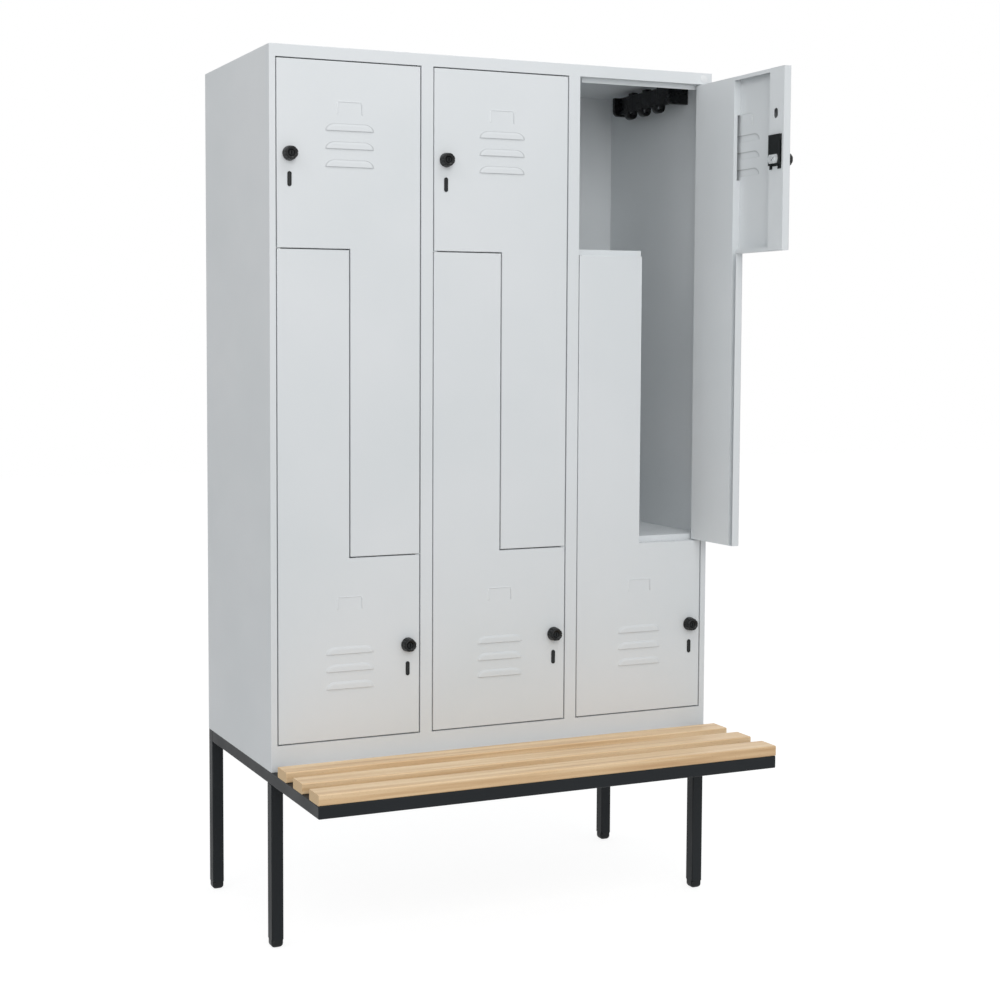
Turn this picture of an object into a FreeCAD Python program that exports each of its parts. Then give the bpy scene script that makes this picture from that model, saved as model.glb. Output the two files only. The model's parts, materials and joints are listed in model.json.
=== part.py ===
import FreeCAD, Part
import math
import operator
import os
from types import SimpleNamespace

# A steel locker of three columns, each with two interlocking Z-shaped doors, on a square-tube base whose
# side rails reach forward and carry a slatted bench. Millimetres, +Z up, the front faces -Y. The origin
# lies on the floor, under the middle of the plan that the unit takes up with one door standing open.

COLUMNS = 3
SLATS = 3
LOUVRES = 3
HOOKS = 3
KNOB_FLUTES = 8
OPEN_DOOR = "upper_door_3"

# Driving dimensions. Every length is written here once, and everything else is worked out from them.
dimensions = {
    # Sheet-steel body
    "body_width": 1200.0,
    "body_depth": 500.0,
    "body_height": 1700.0,
    "sheet": 1.0,
    "bend_radius": 1.4,
    "post_half_width": 15.5,
    "front_depth": 20.0,
    "top_rail_height": 29.0,
    "bottom_rail_height": 61.5,
    "stop_setback": 22.0,
    "stop_lip": 11.0,
    "stop_notch": 17.0,
    "wall_hole_radius": 4.5,
    "wall_hole_spacing": 800.0,
    "wall_hole_drop": 60.0,
    "badge_radius": 10.0,
    "badge_thickness": 1.0,
    "badge_inset": 24.0,
    # Z-shaped dividers
    "shelf_rise": 14.0,
    "shelf_flange": 28.0,
    "divider_lip": 8.0,
    # Doors
    "door_gap": 3.0,
    "wide_height": 435.0,
    "return_lip": 8.0,
    "stiffener_step": 16.0,
    "stiffener_slot_width": 8.5,
    "stiffener_slot_length": 160.0,
    "stiffener_slot_rise": 71.0,
    "channel_width": 55.0,
    "channel_hole_width": 15.0,
    "channel_hole_height": 24.0,
    "channel_hole_rise": 109.0,
    "louvre_width": 124.0,
    "louvre_top_width": 92.0,
    "louvre_height": 18.0,
    "louvre_pitch": 42.0,
    "louvre_depth": 3.0,
    "louvre_drop_upper": 27.0,
    "louvre_drop_lower": 96.0,
    "label_width": 68.0,
    "label_height": 30.0,
    "label_rise": 94.0,
    "label_bar": 3.0,
    "label_depth": 2.0,
    "open_angle": 91.0,
    # Pivots
    "pivot_inset": 6.0,
    "pivot_setback": 6.0,
    "pin_radius": 3.0,
    "pin_clearance": 0.05,
    "pin_reach": 9.0,
    "pin_head_radius": 5.0,
    "pin_head_height": 2.0,
    "lug_thickness": 1.5,
    "lug_margin": 5.0,
    # Locks
    "knob_radius": 17.5,
    "knob_height": 20.0,
    "knob_rounding": 8.0,
    "knob_standoff": 0.4,
    "knob_edge_inset": 31.0,
    "flute_radius": 4.0,
    "flute_depth": 1.2,
    "keyway_width": 2.4,
    "keyway_height": 9.0,
    "keyway_depth": 3.0,
    "spindle_radius": 4.0,
    "spindle_play": 0.5,
    "case_width": 44.0,
    "case_height": 82.0,
    "case_below": 24.0,
    "case_edge_inset": 7.5,
    "case_cover": 1.2,
    "case_notch_width": 22.0,
    "case_notch_height": 7.0,
    "case_foot": 9.0,
    "case_foot_depth": 1.6,
    "window_clearance": 0.5,
    "tongue_length": 43.0,
    "tongue_width": 14.0,
    "tongue_thickness": 2.5,
    "tongue_clearance": 2.0,
    "lock_play": 0.3,
    "hub_radius": 8.0,
    "cam_radius": 17.5,
    "cam_height": 21.0,
    "cam_thickness": 2.0,
    "insert_width": 9.5,
    "insert_height": 34.0,
    "insert_drop": 58.6,
    "insert_proud": 0.8,
    "insert_rim": 2.0,
    "insert_neck": 3.0,
    "insert_clearance": 0.2,
    # Hook strips
    "strip_depth": 60.0,
    "strip_length": 284.0,
    "strip_top_gap": 14.0,
    "block_height": 50.0,
    "block_thickness": 12.0,
    "block_rounding": 14.0,
    "bar_setback": 30.0,
    "bar_width": 16.0,
    "bar_height": 46.0,
    "hook_spacing": 70.0,
    "hook_width": 20.0,
    "hook_thickness": 7.0,
    "hook_drop": 20.0,
    "hook_toe_height": 14.0,
    "hook_boss_rise": 6.0,
    # Base frame and bench
    "base_height": 425.0,
    "tube": 30.0,
    "tube_wall": 2.0,
    "foot_height": 20.0,
    "foot_step": 0.2,
    "foot_rounding": 7.0,
    "foot_plug": 18.0,
    "foot_plug_clearance": 0.3,
    "bench_reach": 315.0,
    "slat_width": 60.0,
    "slat_thickness": 25.0,
    "slat_gap": 45.0,
    "slat_rounding": 3.0,
    "screw_radius": 3.0,
    "screw_head_radius": 6.0,
    "screw_head_height": 3.5,
    "screw_bite": 17.0,
    "screw_clearance": 0.2,
    "bolt_radius": 4.0,
    "bolt_head_radius": 7.0,
    "bolt_head_height": 5.0,
    "bolt_reach": 12.0,
    "bolt_setback": 70.0,
    "bolt_flange": 29.0,
    "overrun": 5.0,
}

TOUCH = 1e-6
OPERATORS = {"+": operator.add, "-": operator.sub, "*": operator.mul, "/": operator.truediv}

doc = FreeCAD.newDocument("z_door_locker")
sheet_cells = doc.addObject("Spreadsheet::Sheet", "dims")
for row, (alias, number) in enumerate(dimensions.items(), 1):
    sheet_cells.set(f"A{row}", alias)
    sheet_cells.set(f"B{row}", str(number))
    sheet_cells.setAlias(f"B{row}", alias)
doc.recompute()


class Size:
    """A length in the sheet's own words, with its present value beside them."""

    def __init__(self, words, value):
        self.words = words
        self.value = value

    def __add__(self, other):
        return combine(self, "+", other)

    def __radd__(self, other):
        return combine(other, "+", self)

    def __sub__(self, other):
        return combine(self, "-", other)

    def __rsub__(self, other):
        return combine(other, "-", self)

    def __mul__(self, other):
        return combine(self, "*", other)

    def __rmul__(self, other):
        return combine(other, "*", self)

    def __truediv__(self, other):
        return combine(self, "/", other)

    def __neg__(self):
        return combine(0, "-", self)


def as_size(number):
    if isinstance(number, Size):
        return number
    return Size(f"({float(number)!r})", float(number))


def combine(left, sign, right):
    left = as_size(left)
    right = as_size(right)
    return Size(f"({left.words} {sign} {right.words})", OPERATORS[sign](left.value, right.value))


def between(one, other):
    """The two places in rising order, so a mirrored piece needs no sorting by hand."""
    one = as_size(one)
    other = as_size(other)
    return (one, other) if one.value <= other.value else (other, one)


def about(middle, width):
    return (middle - width / 2, middle + width / 2)


d = SimpleNamespace(**{alias: Size(f"dims.{alias}", float(sheet_cells.get(alias))) for alias in dimensions})
nodes = []


# Building helpers

def bind(obj, prop, length):
    obj.setExpression(prop, as_size(length).words)


def place(obj, x, y, z):
    bind(obj, "Placement.Base.x", x)
    bind(obj, "Placement.Base.y", y)
    bind(obj, "Placement.Base.z", z)


def turn(obj, axis, degrees):
    obj.Placement = FreeCAD.Placement(FreeCAD.Vector(), FreeCAD.Rotation(axis, degrees))


def block(name, x, y, z):
    """A box between two places along each axis."""
    box = doc.addObject("Part::Box", name)
    for prop, (low, high) in zip(("Length", "Width", "Height"), (x, y, z)):
        bind(box, prop, high - low)
    place(box, x[0], y[0], z[0])
    return box


def rod_up(name, radius, x, y, z):
    """A round bar along Z."""
    rod = doc.addObject("Part::Cylinder", name)
    bind(rod, "Radius", radius)
    bind(rod, "Height", z[1] - z[0])
    place(rod, x, y, z[0])
    return rod


def rod_back(name, radius, x, y, z):
    """A round bar along Y."""
    rod = doc.addObject("Part::Cylinder", name)
    bind(rod, "Radius", radius)
    bind(rod, "Height", y[1] - y[0])
    turn(rod, FreeCAD.Vector(1, 0, 0), -90)
    place(rod, x, y[0], z)
    return rod


def fuse(name, pieces):
    whole = doc.addObject("Part::MultiFuse", name)
    whole.Shapes = pieces
    whole.Refine = True
    return whole


def cut(name, base, tools):
    rest = doc.addObject("Part::Cut", name)
    rest.Base = base
    rest.Tool = tools[0] if len(tools) == 1 else fuse(f"{name}_tools", tools)
    rest.Refine = True
    return rest


def group(name, pieces):
    whole = doc.addObject("Part::Compound", name)
    whole.Links = pieces
    return whole


def rounded(name, base, radius, wanted):
    """The piece with the wanted edges rounded."""
    doc.recompute()
    fillet = doc.addObject("Part::Fillet", name)
    fillet.Base = base
    picked = [number for number, edge in enumerate(base.Shape.Edges, 1) if wanted(edge.BoundBox)]
    fillet.Edges = [(number, radius.value, radius.value) for number in picked]
    return fillet


def stadium(name, width, x, y, z):
    """An upright slot shape with round ends, along Y."""
    ends = [rod_back(f"{name}_end", width / 2, x, y, z[0] + width / 2)]
    ends.append(rod_back(f"{name}_end", width / 2, x, y, z[1] - width / 2))
    middle = block(f"{name}_middle", about(x, width), y, (z[0] + width / 2, z[1] - width / 2))
    return fuse(name, ends + [middle])


def wedge(name, y, x_first, z_first, x_last, z_last):
    """A block whose section changes evenly along its own Y."""
    piece = doc.addObject("Part::Wedge", name)
    ends = {"Xmin": x_first[0], "Xmax": x_first[1], "Zmin": z_first[0], "Zmax": z_first[1]}
    ends.update({"X2min": x_last[0], "X2max": x_last[1], "Z2min": z_last[0], "Z2max": z_last[1]})
    ends.update({"Ymin": y[0], "Ymax": y[1]})
    for prop, length in ends.items():
        bind(piece, prop, length)
    return piece


def node(obj, label):
    obj.Label = label
    nodes.append(obj)
    return obj


# Places shared by the pieces

pitch = d.body_width / COLUMNS
half_width = d.body_width / 2
inner_half = pitch / 2 - d.sheet
opening_half = pitch / 2 - d.post_half_width
door_width = pitch - d.post_half_width * 2 - d.door_gap * 2
strip_width = (door_width - d.door_gap) / 2
stiffener_width = strip_width - d.stiffener_step
swing_reach = door_width - d.pivot_inset - d.pivot_setback
pivot_offset = opening_half - d.door_gap - d.pivot_inset
pin_bore = d.pin_radius + d.pin_clearance

front_y = (swing_reach - d.body_depth) / 2
rear_y = front_y + d.body_depth
bench_y = front_y - d.bench_reach
stop_y = front_y + d.stop_setback
pivot_y = front_y + d.pivot_setback

base_z = d.base_height
top_z = base_z + d.body_height
sill_z = base_z + d.bottom_rail_height
lintel_z = top_z - d.top_rail_height
lower_bottom_z = sill_z + d.door_gap
lower_wide_top_z = lower_bottom_z + d.wide_height
upper_bottom_z = lower_wide_top_z + d.door_gap
upper_top_z = lintel_z - d.door_gap
upper_wide_bottom_z = upper_top_z - d.wide_height
lower_top_z = upper_wide_bottom_z - d.door_gap
low_shelf_z = lower_wide_top_z + d.door_gap / 2 + d.shelf_rise
high_shelf_z = lower_top_z + d.door_gap / 2 + d.shelf_rise
rail_low_z = base_z - d.tube
rail_middle_x = half_width - d.tube / 2

columns = [pitch * (2 * number - COLUMNS + 1) / 2 for number in range(COLUMNS)]
partition_places = [pitch * (2 * number - COLUMNS) / 2 for number in range(1, COLUMNS)]


# Sheet-steel body

def side_panel(label, side):
    """A side wall folded round at the front into half a post."""
    edge = half_width * side
    height = (base_z, lintel_z)
    inner = edge - d.post_half_width * side
    wall = block("side_wall", between(edge, edge - d.sheet * side), (front_y, rear_y), height)
    face = block("side_face", between(edge, inner), (front_y, front_y + d.sheet), height)
    inner_wall = between(inner, inner + d.sheet * side)
    fold = block("side_fold", inner_wall, (front_y, front_y + d.front_depth), height)
    panel = fuse("side_folded", [wall, face, fold])

    def outer_corner(box):
        upright = box.ZLength > TOUCH
        return upright and abs(box.Center.x - edge.value) < TOUCH and box.YMax < front_y.value + TOUCH

    node(rounded("side_panel", panel, d.bend_radius, outer_corner), label)


def top_panel():
    """A shallow tray whose front edge is the face of the upper rail."""
    outer = block("top_outer", (-half_width, half_width), (front_y, rear_y), (lintel_z, top_z))

    def upper_or_front(box):
        along_top = box.ZMin > top_z.value - TOUCH
        front_corner = box.ZLength > TOUCH and box.YMax < front_y.value + TOUCH
        return along_top or front_corner

    shell = rounded("top_shell", outer, d.bend_radius, upper_or_front)
    inside_x = (d.sheet - half_width, half_width - d.sheet)
    inside_y = (front_y + d.sheet, rear_y - d.sheet)
    hollow = block("top_hollow", inside_x, inside_y, (lintel_z - d.overrun, top_z - d.sheet))
    node(cut("top_tray", shell, [hollow]), "top_panel")


def pivot_holes(name, offset, z):
    return [rod_up(name, pin_bore, column + offset, pivot_y, z) for column in columns]


def stop_lips(name, z):
    """The strip that a shut door meets in each column, cut short beside the posts."""
    reach = opening_half - d.stop_notch
    rear = (stop_y, stop_y + d.sheet)
    return [block(name, (column - reach, column + reach), rear, z) for column in columns]


def top_rail():
    """The channel behind the face of the upper rail, with the stop lips below it."""
    width = (d.sheet - half_width, half_width - d.sheet)
    web = block("top_web", width, (front_y + d.sheet, stop_y + d.sheet), (lintel_z, lintel_z + d.sheet))
    back = block("top_back", width, (stop_y, stop_y + d.sheet), (lintel_z, top_z - d.sheet))
    lips = stop_lips("top_lip", (lintel_z - d.stop_lip, lintel_z + d.sheet))
    rail = fuse("top_channel", [web, back] + lips)
    holes = pivot_holes("top_pin_hole", pivot_offset, (lintel_z - d.overrun, lintel_z + d.overrun))
    node(cut("top_rail", rail, holes), "top_rail")


def bottom_rail():
    """The deep lower rail of the front frame, with the stop lips above it."""
    width = (d.post_half_width - half_width, half_width - d.post_half_width)
    face = block("sill_face", width, (front_y, front_y + d.sheet), (base_z, sill_z))
    web = block("sill_web", width, (front_y, stop_y + d.sheet), (sill_z - d.sheet, sill_z))
    foot = block("sill_foot", width, (front_y, front_y + d.front_depth), (base_z, base_z + d.sheet))
    lips = stop_lips("sill_lip", (sill_z - d.sheet, sill_z + d.stop_lip))
    rail = fuse("sill_channel", [face, web, foot] + lips)
    holes = pivot_holes("sill_pin_hole", -pivot_offset, (sill_z - d.overrun, sill_z + d.overrun))
    node(cut("bottom_rail", rail, holes), "bottom_rail")


def middle_posts():
    posts = []
    depth = (front_y, front_y + d.front_depth)
    inside_depth = (front_y + d.sheet, front_y + d.front_depth - d.sheet)
    for place_x in partition_places:
        outer = block("post_outer", about(place_x, d.post_half_width * 2), depth, (sill_z, lintel_z))
        inside_x = about(place_x, d.post_half_width * 2 - d.sheet * 2)
        through = (sill_z - d.overrun, lintel_z + d.overrun)
        posts.append(cut("post", outer, [block("post_hollow", inside_x, inside_depth, through)]))
    node(group("posts", posts), "middle_posts")


def partition(label, place_x):
    """The double wall between two columns, notched at the top round the upper rail's channel."""
    thickness = about(place_x, d.sheet * 2)
    behind_rail = (stop_y + d.sheet, rear_y - d.sheet)
    wall = block("partition_wall", thickness, behind_rail, (sill_z, top_z - d.sheet))
    behind_post = (front_y + d.front_depth, stop_y + d.sheet)
    nose = block("partition_nose", thickness, behind_post, (sill_z, lintel_z))
    node(fuse("partition", [wall, nose]), label)


def floor_panel():
    """An upturned tray whose side lips are bolted to the base."""
    side = half_width - d.sheet
    depth = (stop_y + d.sheet, rear_y - d.sheet)
    plate = block("floor_plate", (-side, side), depth, (sill_z - d.sheet, sill_z))
    rear_wall = (rear_y - d.sheet * 2, rear_y - d.sheet)
    pieces = [plate, block("floor_rear", (-side, side), rear_wall, (base_z, sill_z))]
    for hand in (-1, 1):
        wall_x = between(side * hand, (side - d.sheet) * hand)
        lip_x = between(side * hand, (side - d.bolt_flange) * hand)
        pieces.append(block("floor_side", wall_x, depth, (base_z, sill_z)))
        pieces.append(block("floor_lip", lip_x, depth, (base_z, base_z + d.sheet)))
    tray = fuse("floor_tray", pieces)
    node(cut("floor", tray, bolt_shafts("floor_hole", d.screw_clearance)), "floor_panel")


def rear_panel():
    """The plain back, with two holes near the top for fixing the unit to a wall."""
    side = half_width - d.sheet
    depth = (rear_y - d.sheet, rear_y)
    plate = block("rear_plate", (-side, side), depth, (base_z, lintel_z))
    hole_y = (rear_y - d.overrun, rear_y + d.overrun)
    hole_z = lintel_z - d.wall_hole_drop
    holes = []
    for hand in (-1, 1):
        hole_x = d.wall_hole_spacing * hand / 2
        holes.append(rod_back("wall_hole", d.wall_hole_radius, hole_x, hole_y, hole_z))
    node(cut("rear", plate, holes), "rear_panel")


def z_divider(label, column):
    """Two half shelves and the upright wall between them, with folded front edges."""
    depth = (stop_y, rear_y - d.sheet)
    lip = (stop_y, stop_y + d.sheet)
    left = column - inner_half
    right = column + inner_half
    wall_x = about(column, d.sheet)
    high = (high_shelf_z - d.sheet, high_shelf_z)
    low = (low_shelf_z - d.sheet, low_shelf_z)
    high_flange = (high_shelf_z - d.shelf_flange, high_shelf_z)
    low_flange = (low_shelf_z - d.shelf_flange, low_shelf_z)
    pieces = [
        block("high_shelf", (left, wall_x[1]), depth, high),
        block("high_edge", (left, column + d.divider_lip), lip, high_flange),
        block("divider_wall", wall_x, depth, (low[0], high[1])),
        block("divider_edge", about(column, d.divider_lip * 2), lip, (low_flange[0], high[1])),
        block("low_shelf", (wall_x[0], right), depth, low),
        block("low_edge", (column - d.divider_lip, right), lip, low_flange),
    ]
    node(fuse("z_divider", pieces), label)


def badge():
    """A plain round disc near the right end of the upper rail."""
    middle_z = lintel_z + d.top_rail_height / 2
    depth = (front_y - d.badge_thickness, front_y)
    node(rod_back("badge", d.badge_radius, half_width - d.badge_inset, depth, middle_z), "blank_badge")


# Hook strips

def hook(wall, side, middle_y, bar_low):
    """A J-shaped hook under the bar, its toe turned up away from the wall, and its boss on the bar."""
    width = about(middle_y, d.hook_width)
    low = bar_low - d.hook_drop
    stem_x = wall - d.bar_setback * side
    toe_x = wall - d.strip_depth * side
    floor_z = (low, low + d.hook_thickness)
    stem = block("hook_stem", between(stem_x, stem_x - d.hook_thickness * side), width, (low, bar_low))
    floor = block("hook_floor", between(stem_x, toe_x), width, floor_z)
    toe_top = low + d.hook_thickness + d.hook_toe_height
    toe = block("hook_toe", between(toe_x, toe_x + d.hook_thickness * side), width, (low, toe_top))
    boss_x = between(stem_x, stem_x - d.bar_width * side)
    boss_z = (bar_low, bar_low + d.bar_height + d.hook_boss_rise)
    return [stem, floor, toe, block("hook_boss", boss_x, width, boss_z)]


def hook_strip(column, side, ceiling_z):
    """A bar with hooks between two end blocks that are fixed to the side of the compartment."""
    wall = column + inner_half * side
    free = wall - d.strip_depth * side
    middle = (front_y + rear_y) / 2
    ends = about(middle, d.strip_length)
    top = ceiling_z - d.strip_top_gap
    blocks = []
    for low, high in ((ends[0], ends[0] + d.block_thickness), (ends[1] - d.block_thickness, ends[1])):
        plate = block("end_plate", between(wall, free), (low, high), (top - d.block_height, top))

        def lower_free_corner(box):
            along = box.YLength > TOUCH
            return along and abs(box.Center.x - free.value) < TOUCH and box.ZMax < top.value - TOUCH

        blocks.append(rounded("end_block", plate, d.block_rounding, lower_free_corner))
    bar_x = between(wall - d.bar_setback * side, wall - (d.bar_setback + d.bar_width) * side)
    bar_low = top - d.bar_height
    bar = block("hook_bar", bar_x, ends, (bar_low, top))
    hooks = []
    for number in range(HOOKS):
        offset = d.hook_spacing * (2 * number - HOOKS + 1) / 2
        hooks += hook(wall, side, middle + offset, bar_low)
    return fuse("hook_strip", blocks + [bar] + hooks)


def hook_strips():
    upper = [hook_strip(column, 1, top_z - d.sheet) for column in columns]
    node(group("upper_strips", upper), "hook_strips_upper")
    lower = [hook_strip(column, -1, high_shelf_z - d.sheet) for column in columns]
    node(group("lower_strips", lower), "hook_strips_lower")


# Door pivots

def headed_pin(column, offset, head_z, shank_z):
    x = column + offset
    head = rod_up("pin_head", d.pin_head_radius, x, pivot_y, head_z)
    shank = rod_up("pin_shank", d.pin_radius, x, pivot_y, shank_z)
    return fuse("pivot_pin", [head, shank])


def pivot_pins():
    """Riveted pins: the upper doors hang from the upper rail, the lower doors stand on the lower rail."""
    top_face = lintel_z + d.sheet
    low_face = sill_z - d.sheet
    top_head = (top_face, top_face + d.pin_head_height)
    low_head = (low_face - d.pin_head_height, low_face)
    pins = []
    for column in columns:
        pins.append(headed_pin(column, pivot_offset, top_head, (upper_top_z - d.pin_reach, top_head[1])))
        pins.append(headed_pin(column, -pivot_offset, low_head, (low_head[0], lower_bottom_z + d.pin_reach)))
    node(group("pins", pins), "pivot_pins")


def pivot_lug(column, side, gap_low_z, up):
    """A thin tongue on a post, in the gap between two doors, with the other pin of one door on it."""
    post_face = column + opening_half * side
    pivot_x = column + pivot_offset * side
    middle_z = gap_low_z + d.door_gap / 2
    plate_z = about(middle_z, d.lug_thickness)
    plate_y = about(pivot_y, d.lug_margin * 2)
    plate = block("lug_plate", between(post_face, pivot_x), plate_y, plate_z)
    nose = rod_up("lug_nose", d.lug_margin, pivot_x, pivot_y, plate_z)
    tip = middle_z + (d.door_gap / 2 + d.pin_reach) * up
    pin = rod_up("lug_pin", d.pin_radius, pivot_x, pivot_y, between(middle_z, tip))
    return fuse("pivot_lug", [plate, nose, pin])


def pivot_lugs():
    lugs = []
    for column in columns:
        lugs.append(pivot_lug(column, 1, lower_wide_top_z, 1))
        lugs.append(pivot_lug(column, -1, lower_top_z, -1))
    node(group("lugs", lugs), "pivot_lugs")


# Base frame and bench

def bolt_places():
    return [
        (rail_middle_x * hand, place_y)
        for hand in (-1, 1)
        for place_y in (front_y + d.bolt_setback, rear_y - d.bolt_setback)
    ]


def bolt_shafts(name, clearance):
    z = (base_z - d.bolt_reach, base_z + d.sheet)
    reach = (z[0] - d.overrun, z[1] + d.overrun)
    return [rod_up(name, d.bolt_radius + clearance, x, y, reach) for x, y in bolt_places()]


def slat_middles():
    first = bench_y + d.slat_width / 2
    return [first + (d.slat_width + d.slat_gap) * number for number in range(SLATS)]


def screw_shafts(name, hand, z):
    radius = d.screw_radius + d.screw_clearance
    return [rod_up(name, radius, rail_middle_x * hand, middle, z) for middle in slat_middles()]


def side_rail(label, hand):
    """A tube from a rear leg to the front of the bench, mitred there and drilled for slats and body."""
    solids = []
    for inset, reach in ((as_size(0), as_size(0)), (d.tube_wall, d.overrun)):
        outer_x = half_width - inset
        inner_x = half_width - d.tube + inset
        rear_end = d.tube - rear_y - reach
        long_side = (rear_end, -bench_y - inset)
        short_side = (rear_end, -bench_y - d.tube + inset)
        z = (rail_low_z + inset, base_z - inset)
        if hand < 0:
            piece = wedge("rail_body", (-outer_x, -inner_x), long_side, z, short_side, z)
        else:
            piece = wedge("rail_body", (inner_x, outer_x), short_side, z, long_side, z)
        turn(piece, FreeCAD.Vector(0, 0, 1), -90)
        solids.append(piece)
    tube = cut("rail_tube", solids[0], [solids[1]])
    through = (rail_low_z - d.overrun, base_z + d.overrun)
    holes = screw_shafts("rail_screw_hole", hand, through)
    upper_wall = (base_z - d.tube_wall - d.overrun, base_z + d.overrun)
    for x, y in bolt_places():
        if x.value * hand > 0:
            holes.append(rod_up("rail_bolt_hole", d.bolt_radius + d.screw_clearance, x, y, upper_wall))
    node(cut("side_rail", tube, holes), label)


def front_rail():
    """The bench's front tube, mitred at both ends."""
    solids = []
    for inset in (as_size(0), d.tube_wall):
        long_half = half_width - inset
        short_half = half_width - d.tube + inset
        y = (bench_y + inset, bench_y + d.tube - inset)
        z = (rail_low_z + inset, base_z - inset)
        solids.append(wedge("front_tube", y, (-long_half, long_half), z, (-short_half, short_half), z))
    node(cut("front_rail", solids[0], [solids[1]]), "base_front_rail")


def cross_rail(label, low_y):
    side = half_width - d.tube
    depth = (low_y, low_y + d.tube)
    outer = block("cross_outer", (-side, side), depth, (rail_low_z, base_z))
    inside_y = (depth[0] + d.tube_wall, depth[1] - d.tube_wall)
    inside_z = (rail_low_z + d.tube_wall, base_z - d.tube_wall)
    hollow = block("cross_hollow", (-side - d.overrun, side + d.overrun), inside_y, inside_z)
    node(cut("cross_rail", outer, [hollow]), label)


def leg_places():
    """The middle of each leg."""
    return [
        ((half_width - d.tube / 2) * hand, place_y)
        for hand in (-1, 1)
        for place_y in (front_y + d.tube / 2, rear_y - d.tube / 2)
    ]


def legs():
    """Two legs under the side rails, and two behind them that rise to the top of the base."""
    tubes = []
    inside = d.tube - d.tube_wall * 2
    for x, y in leg_places():
        top = base_z if y.value > 0 else rail_low_z
        outer = block("leg_outer", about(x, d.tube), about(y, d.tube), (d.foot_height, top))
        through = (d.foot_height - d.overrun, top + d.overrun)
        hollow = block("leg_hollow", about(x, inside), about(y, inside), through)
        tubes.append(cut("leg", outer, [hollow]))
    node(group("leg_tubes", tubes), "legs")


def feet():
    """Moulded feet with a plug in the end of each leg and a rounded tread."""
    caps = []
    tread = d.tube - d.foot_step * 2
    plug = d.tube - d.tube_wall * 2 - d.foot_plug_clearance * 2
    for x, y in leg_places():
        body = block("foot_body", about(x, tread), about(y, tread), (as_size(0), d.foot_height))

        def tread_edge(box):
            return box.ZMax < TOUCH or box.ZLength > TOUCH

        pad = rounded("foot_pad", body, d.foot_rounding, tread_edge)
        plug_z = (d.foot_height, d.foot_height + d.foot_plug)
        caps.append(fuse("foot", [pad, block("foot_plug", about(x, plug), about(y, plug), plug_z)]))
    node(group("foot_caps", caps), "foot_caps")


def slats():
    """Beech laths with rounded long edges, screwed from below through both side rails."""
    bite = (base_z - d.overrun, base_z + d.screw_bite)
    for number, middle in enumerate(slat_middles(), 1):
        z = (base_z, base_z + d.slat_thickness)
        lath = block("lath", (-half_width, half_width), about(middle, d.slat_width), z)

        def long_edge(box):
            return box.XLength > TOUCH

        soft = rounded("soft_lath", lath, d.slat_rounding, long_edge)
        radius = d.screw_radius + d.screw_clearance
        holes = [rod_up("slat_hole", radius, rail_middle_x * hand, middle, bite) for hand in (-1, 1)]
        node(cut("slat", soft, holes), f"bench_slat_{number}")


def slat_screws():
    screws = []
    tip = base_z + d.screw_bite - d.screw_clearance
    for hand in (-1, 1):
        for middle in slat_middles():
            x = rail_middle_x * hand
            head_z = (rail_low_z - d.screw_head_height, rail_low_z)
            head = rod_up("screw_head", d.screw_head_radius, x, middle, head_z)
            shank = rod_up("screw_shank", d.screw_radius, x, middle, (head_z[0], tip))
            screws.append(fuse("slat_screw", [head, shank]))
    node(group("screws", screws), "slat_screws")


def frame_bolts():
    bolts = []
    head_low = base_z + d.sheet
    for x, y in bolt_places():
        head = rod_up("bolt_head", d.bolt_head_radius, x, y, (head_low, head_low + d.bolt_head_height))
        shank = rod_up("bolt_shank", d.bolt_radius, x, y, (base_z - d.bolt_reach, head_low))
        bolts.append(fuse("frame_bolt", [head, shank]))
    node(group("bolts", bolts), "frame_bolts")


# Doors. Every door is drawn about its own pivot: x runs from the pivot, y is 0 on the pivot, and z is
# measured from the floor. The door then stands at its pivot, turned by the angle it is shown at.

def door_plan(tier, number):
    """The places of one door: which way it faces and how high its wide and narrow parts reach."""
    upper = tier == "upper"
    plan = SimpleNamespace(hand=1 if upper else -1, name=f"{tier}_door_{number + 1}")
    plan.low = upper_bottom_z if upper else lower_bottom_z
    plan.high = upper_top_z if upper else lower_top_z
    plan.wide = (upper_wide_bottom_z, upper_top_z) if upper else (lower_bottom_z, lower_wide_top_z)
    plan.axis_z = (plan.wide[0] + plan.wide[1]) / 2
    plan.louvre_z = plan.axis_z - (d.louvre_drop_upper if upper else d.louvre_drop_lower)
    plan.pivot_x = columns[number] + pivot_offset * plan.hand
    plan.angle = d.open_angle if plan.name == OPEN_DOOR else as_size(0)
    return plan


def across(plan, near, far):
    """A stretch of the door's width, measured from its hinge edge."""
    return between((d.pivot_inset - near) * plan.hand, (d.pivot_inset - far) * plan.hand)


def stand(plan, obj, label):
    """Set a finished door piece on the door's pivot, at the angle the door is shown at."""
    place(obj, plan.pivot_x, pivot_y, 0)
    bind(obj, "Placement.Rotation.Angle", plan.angle)
    return node(obj, f"{plan.name}_{label}")


skin_front = -d.pivot_setback
skin_inside = skin_front + d.sheet
pan_rear = d.front_depth - d.pivot_setback
tongue_front = pan_rear + d.tongue_clearance
tongue_rear = tongue_front + d.tongue_thickness
case_rear = tongue_rear + d.lock_play + d.case_cover
knob_rear = skin_front - d.knob_standoff
axis_from_hinge = door_width - d.knob_edge_inset


def axis_x(plan):
    return (d.pivot_inset - axis_from_hinge) * plan.hand


def insert_span(plan, extra):
    middle = plan.axis_z - d.insert_drop
    return about(middle, d.insert_height + extra * 2)


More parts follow.
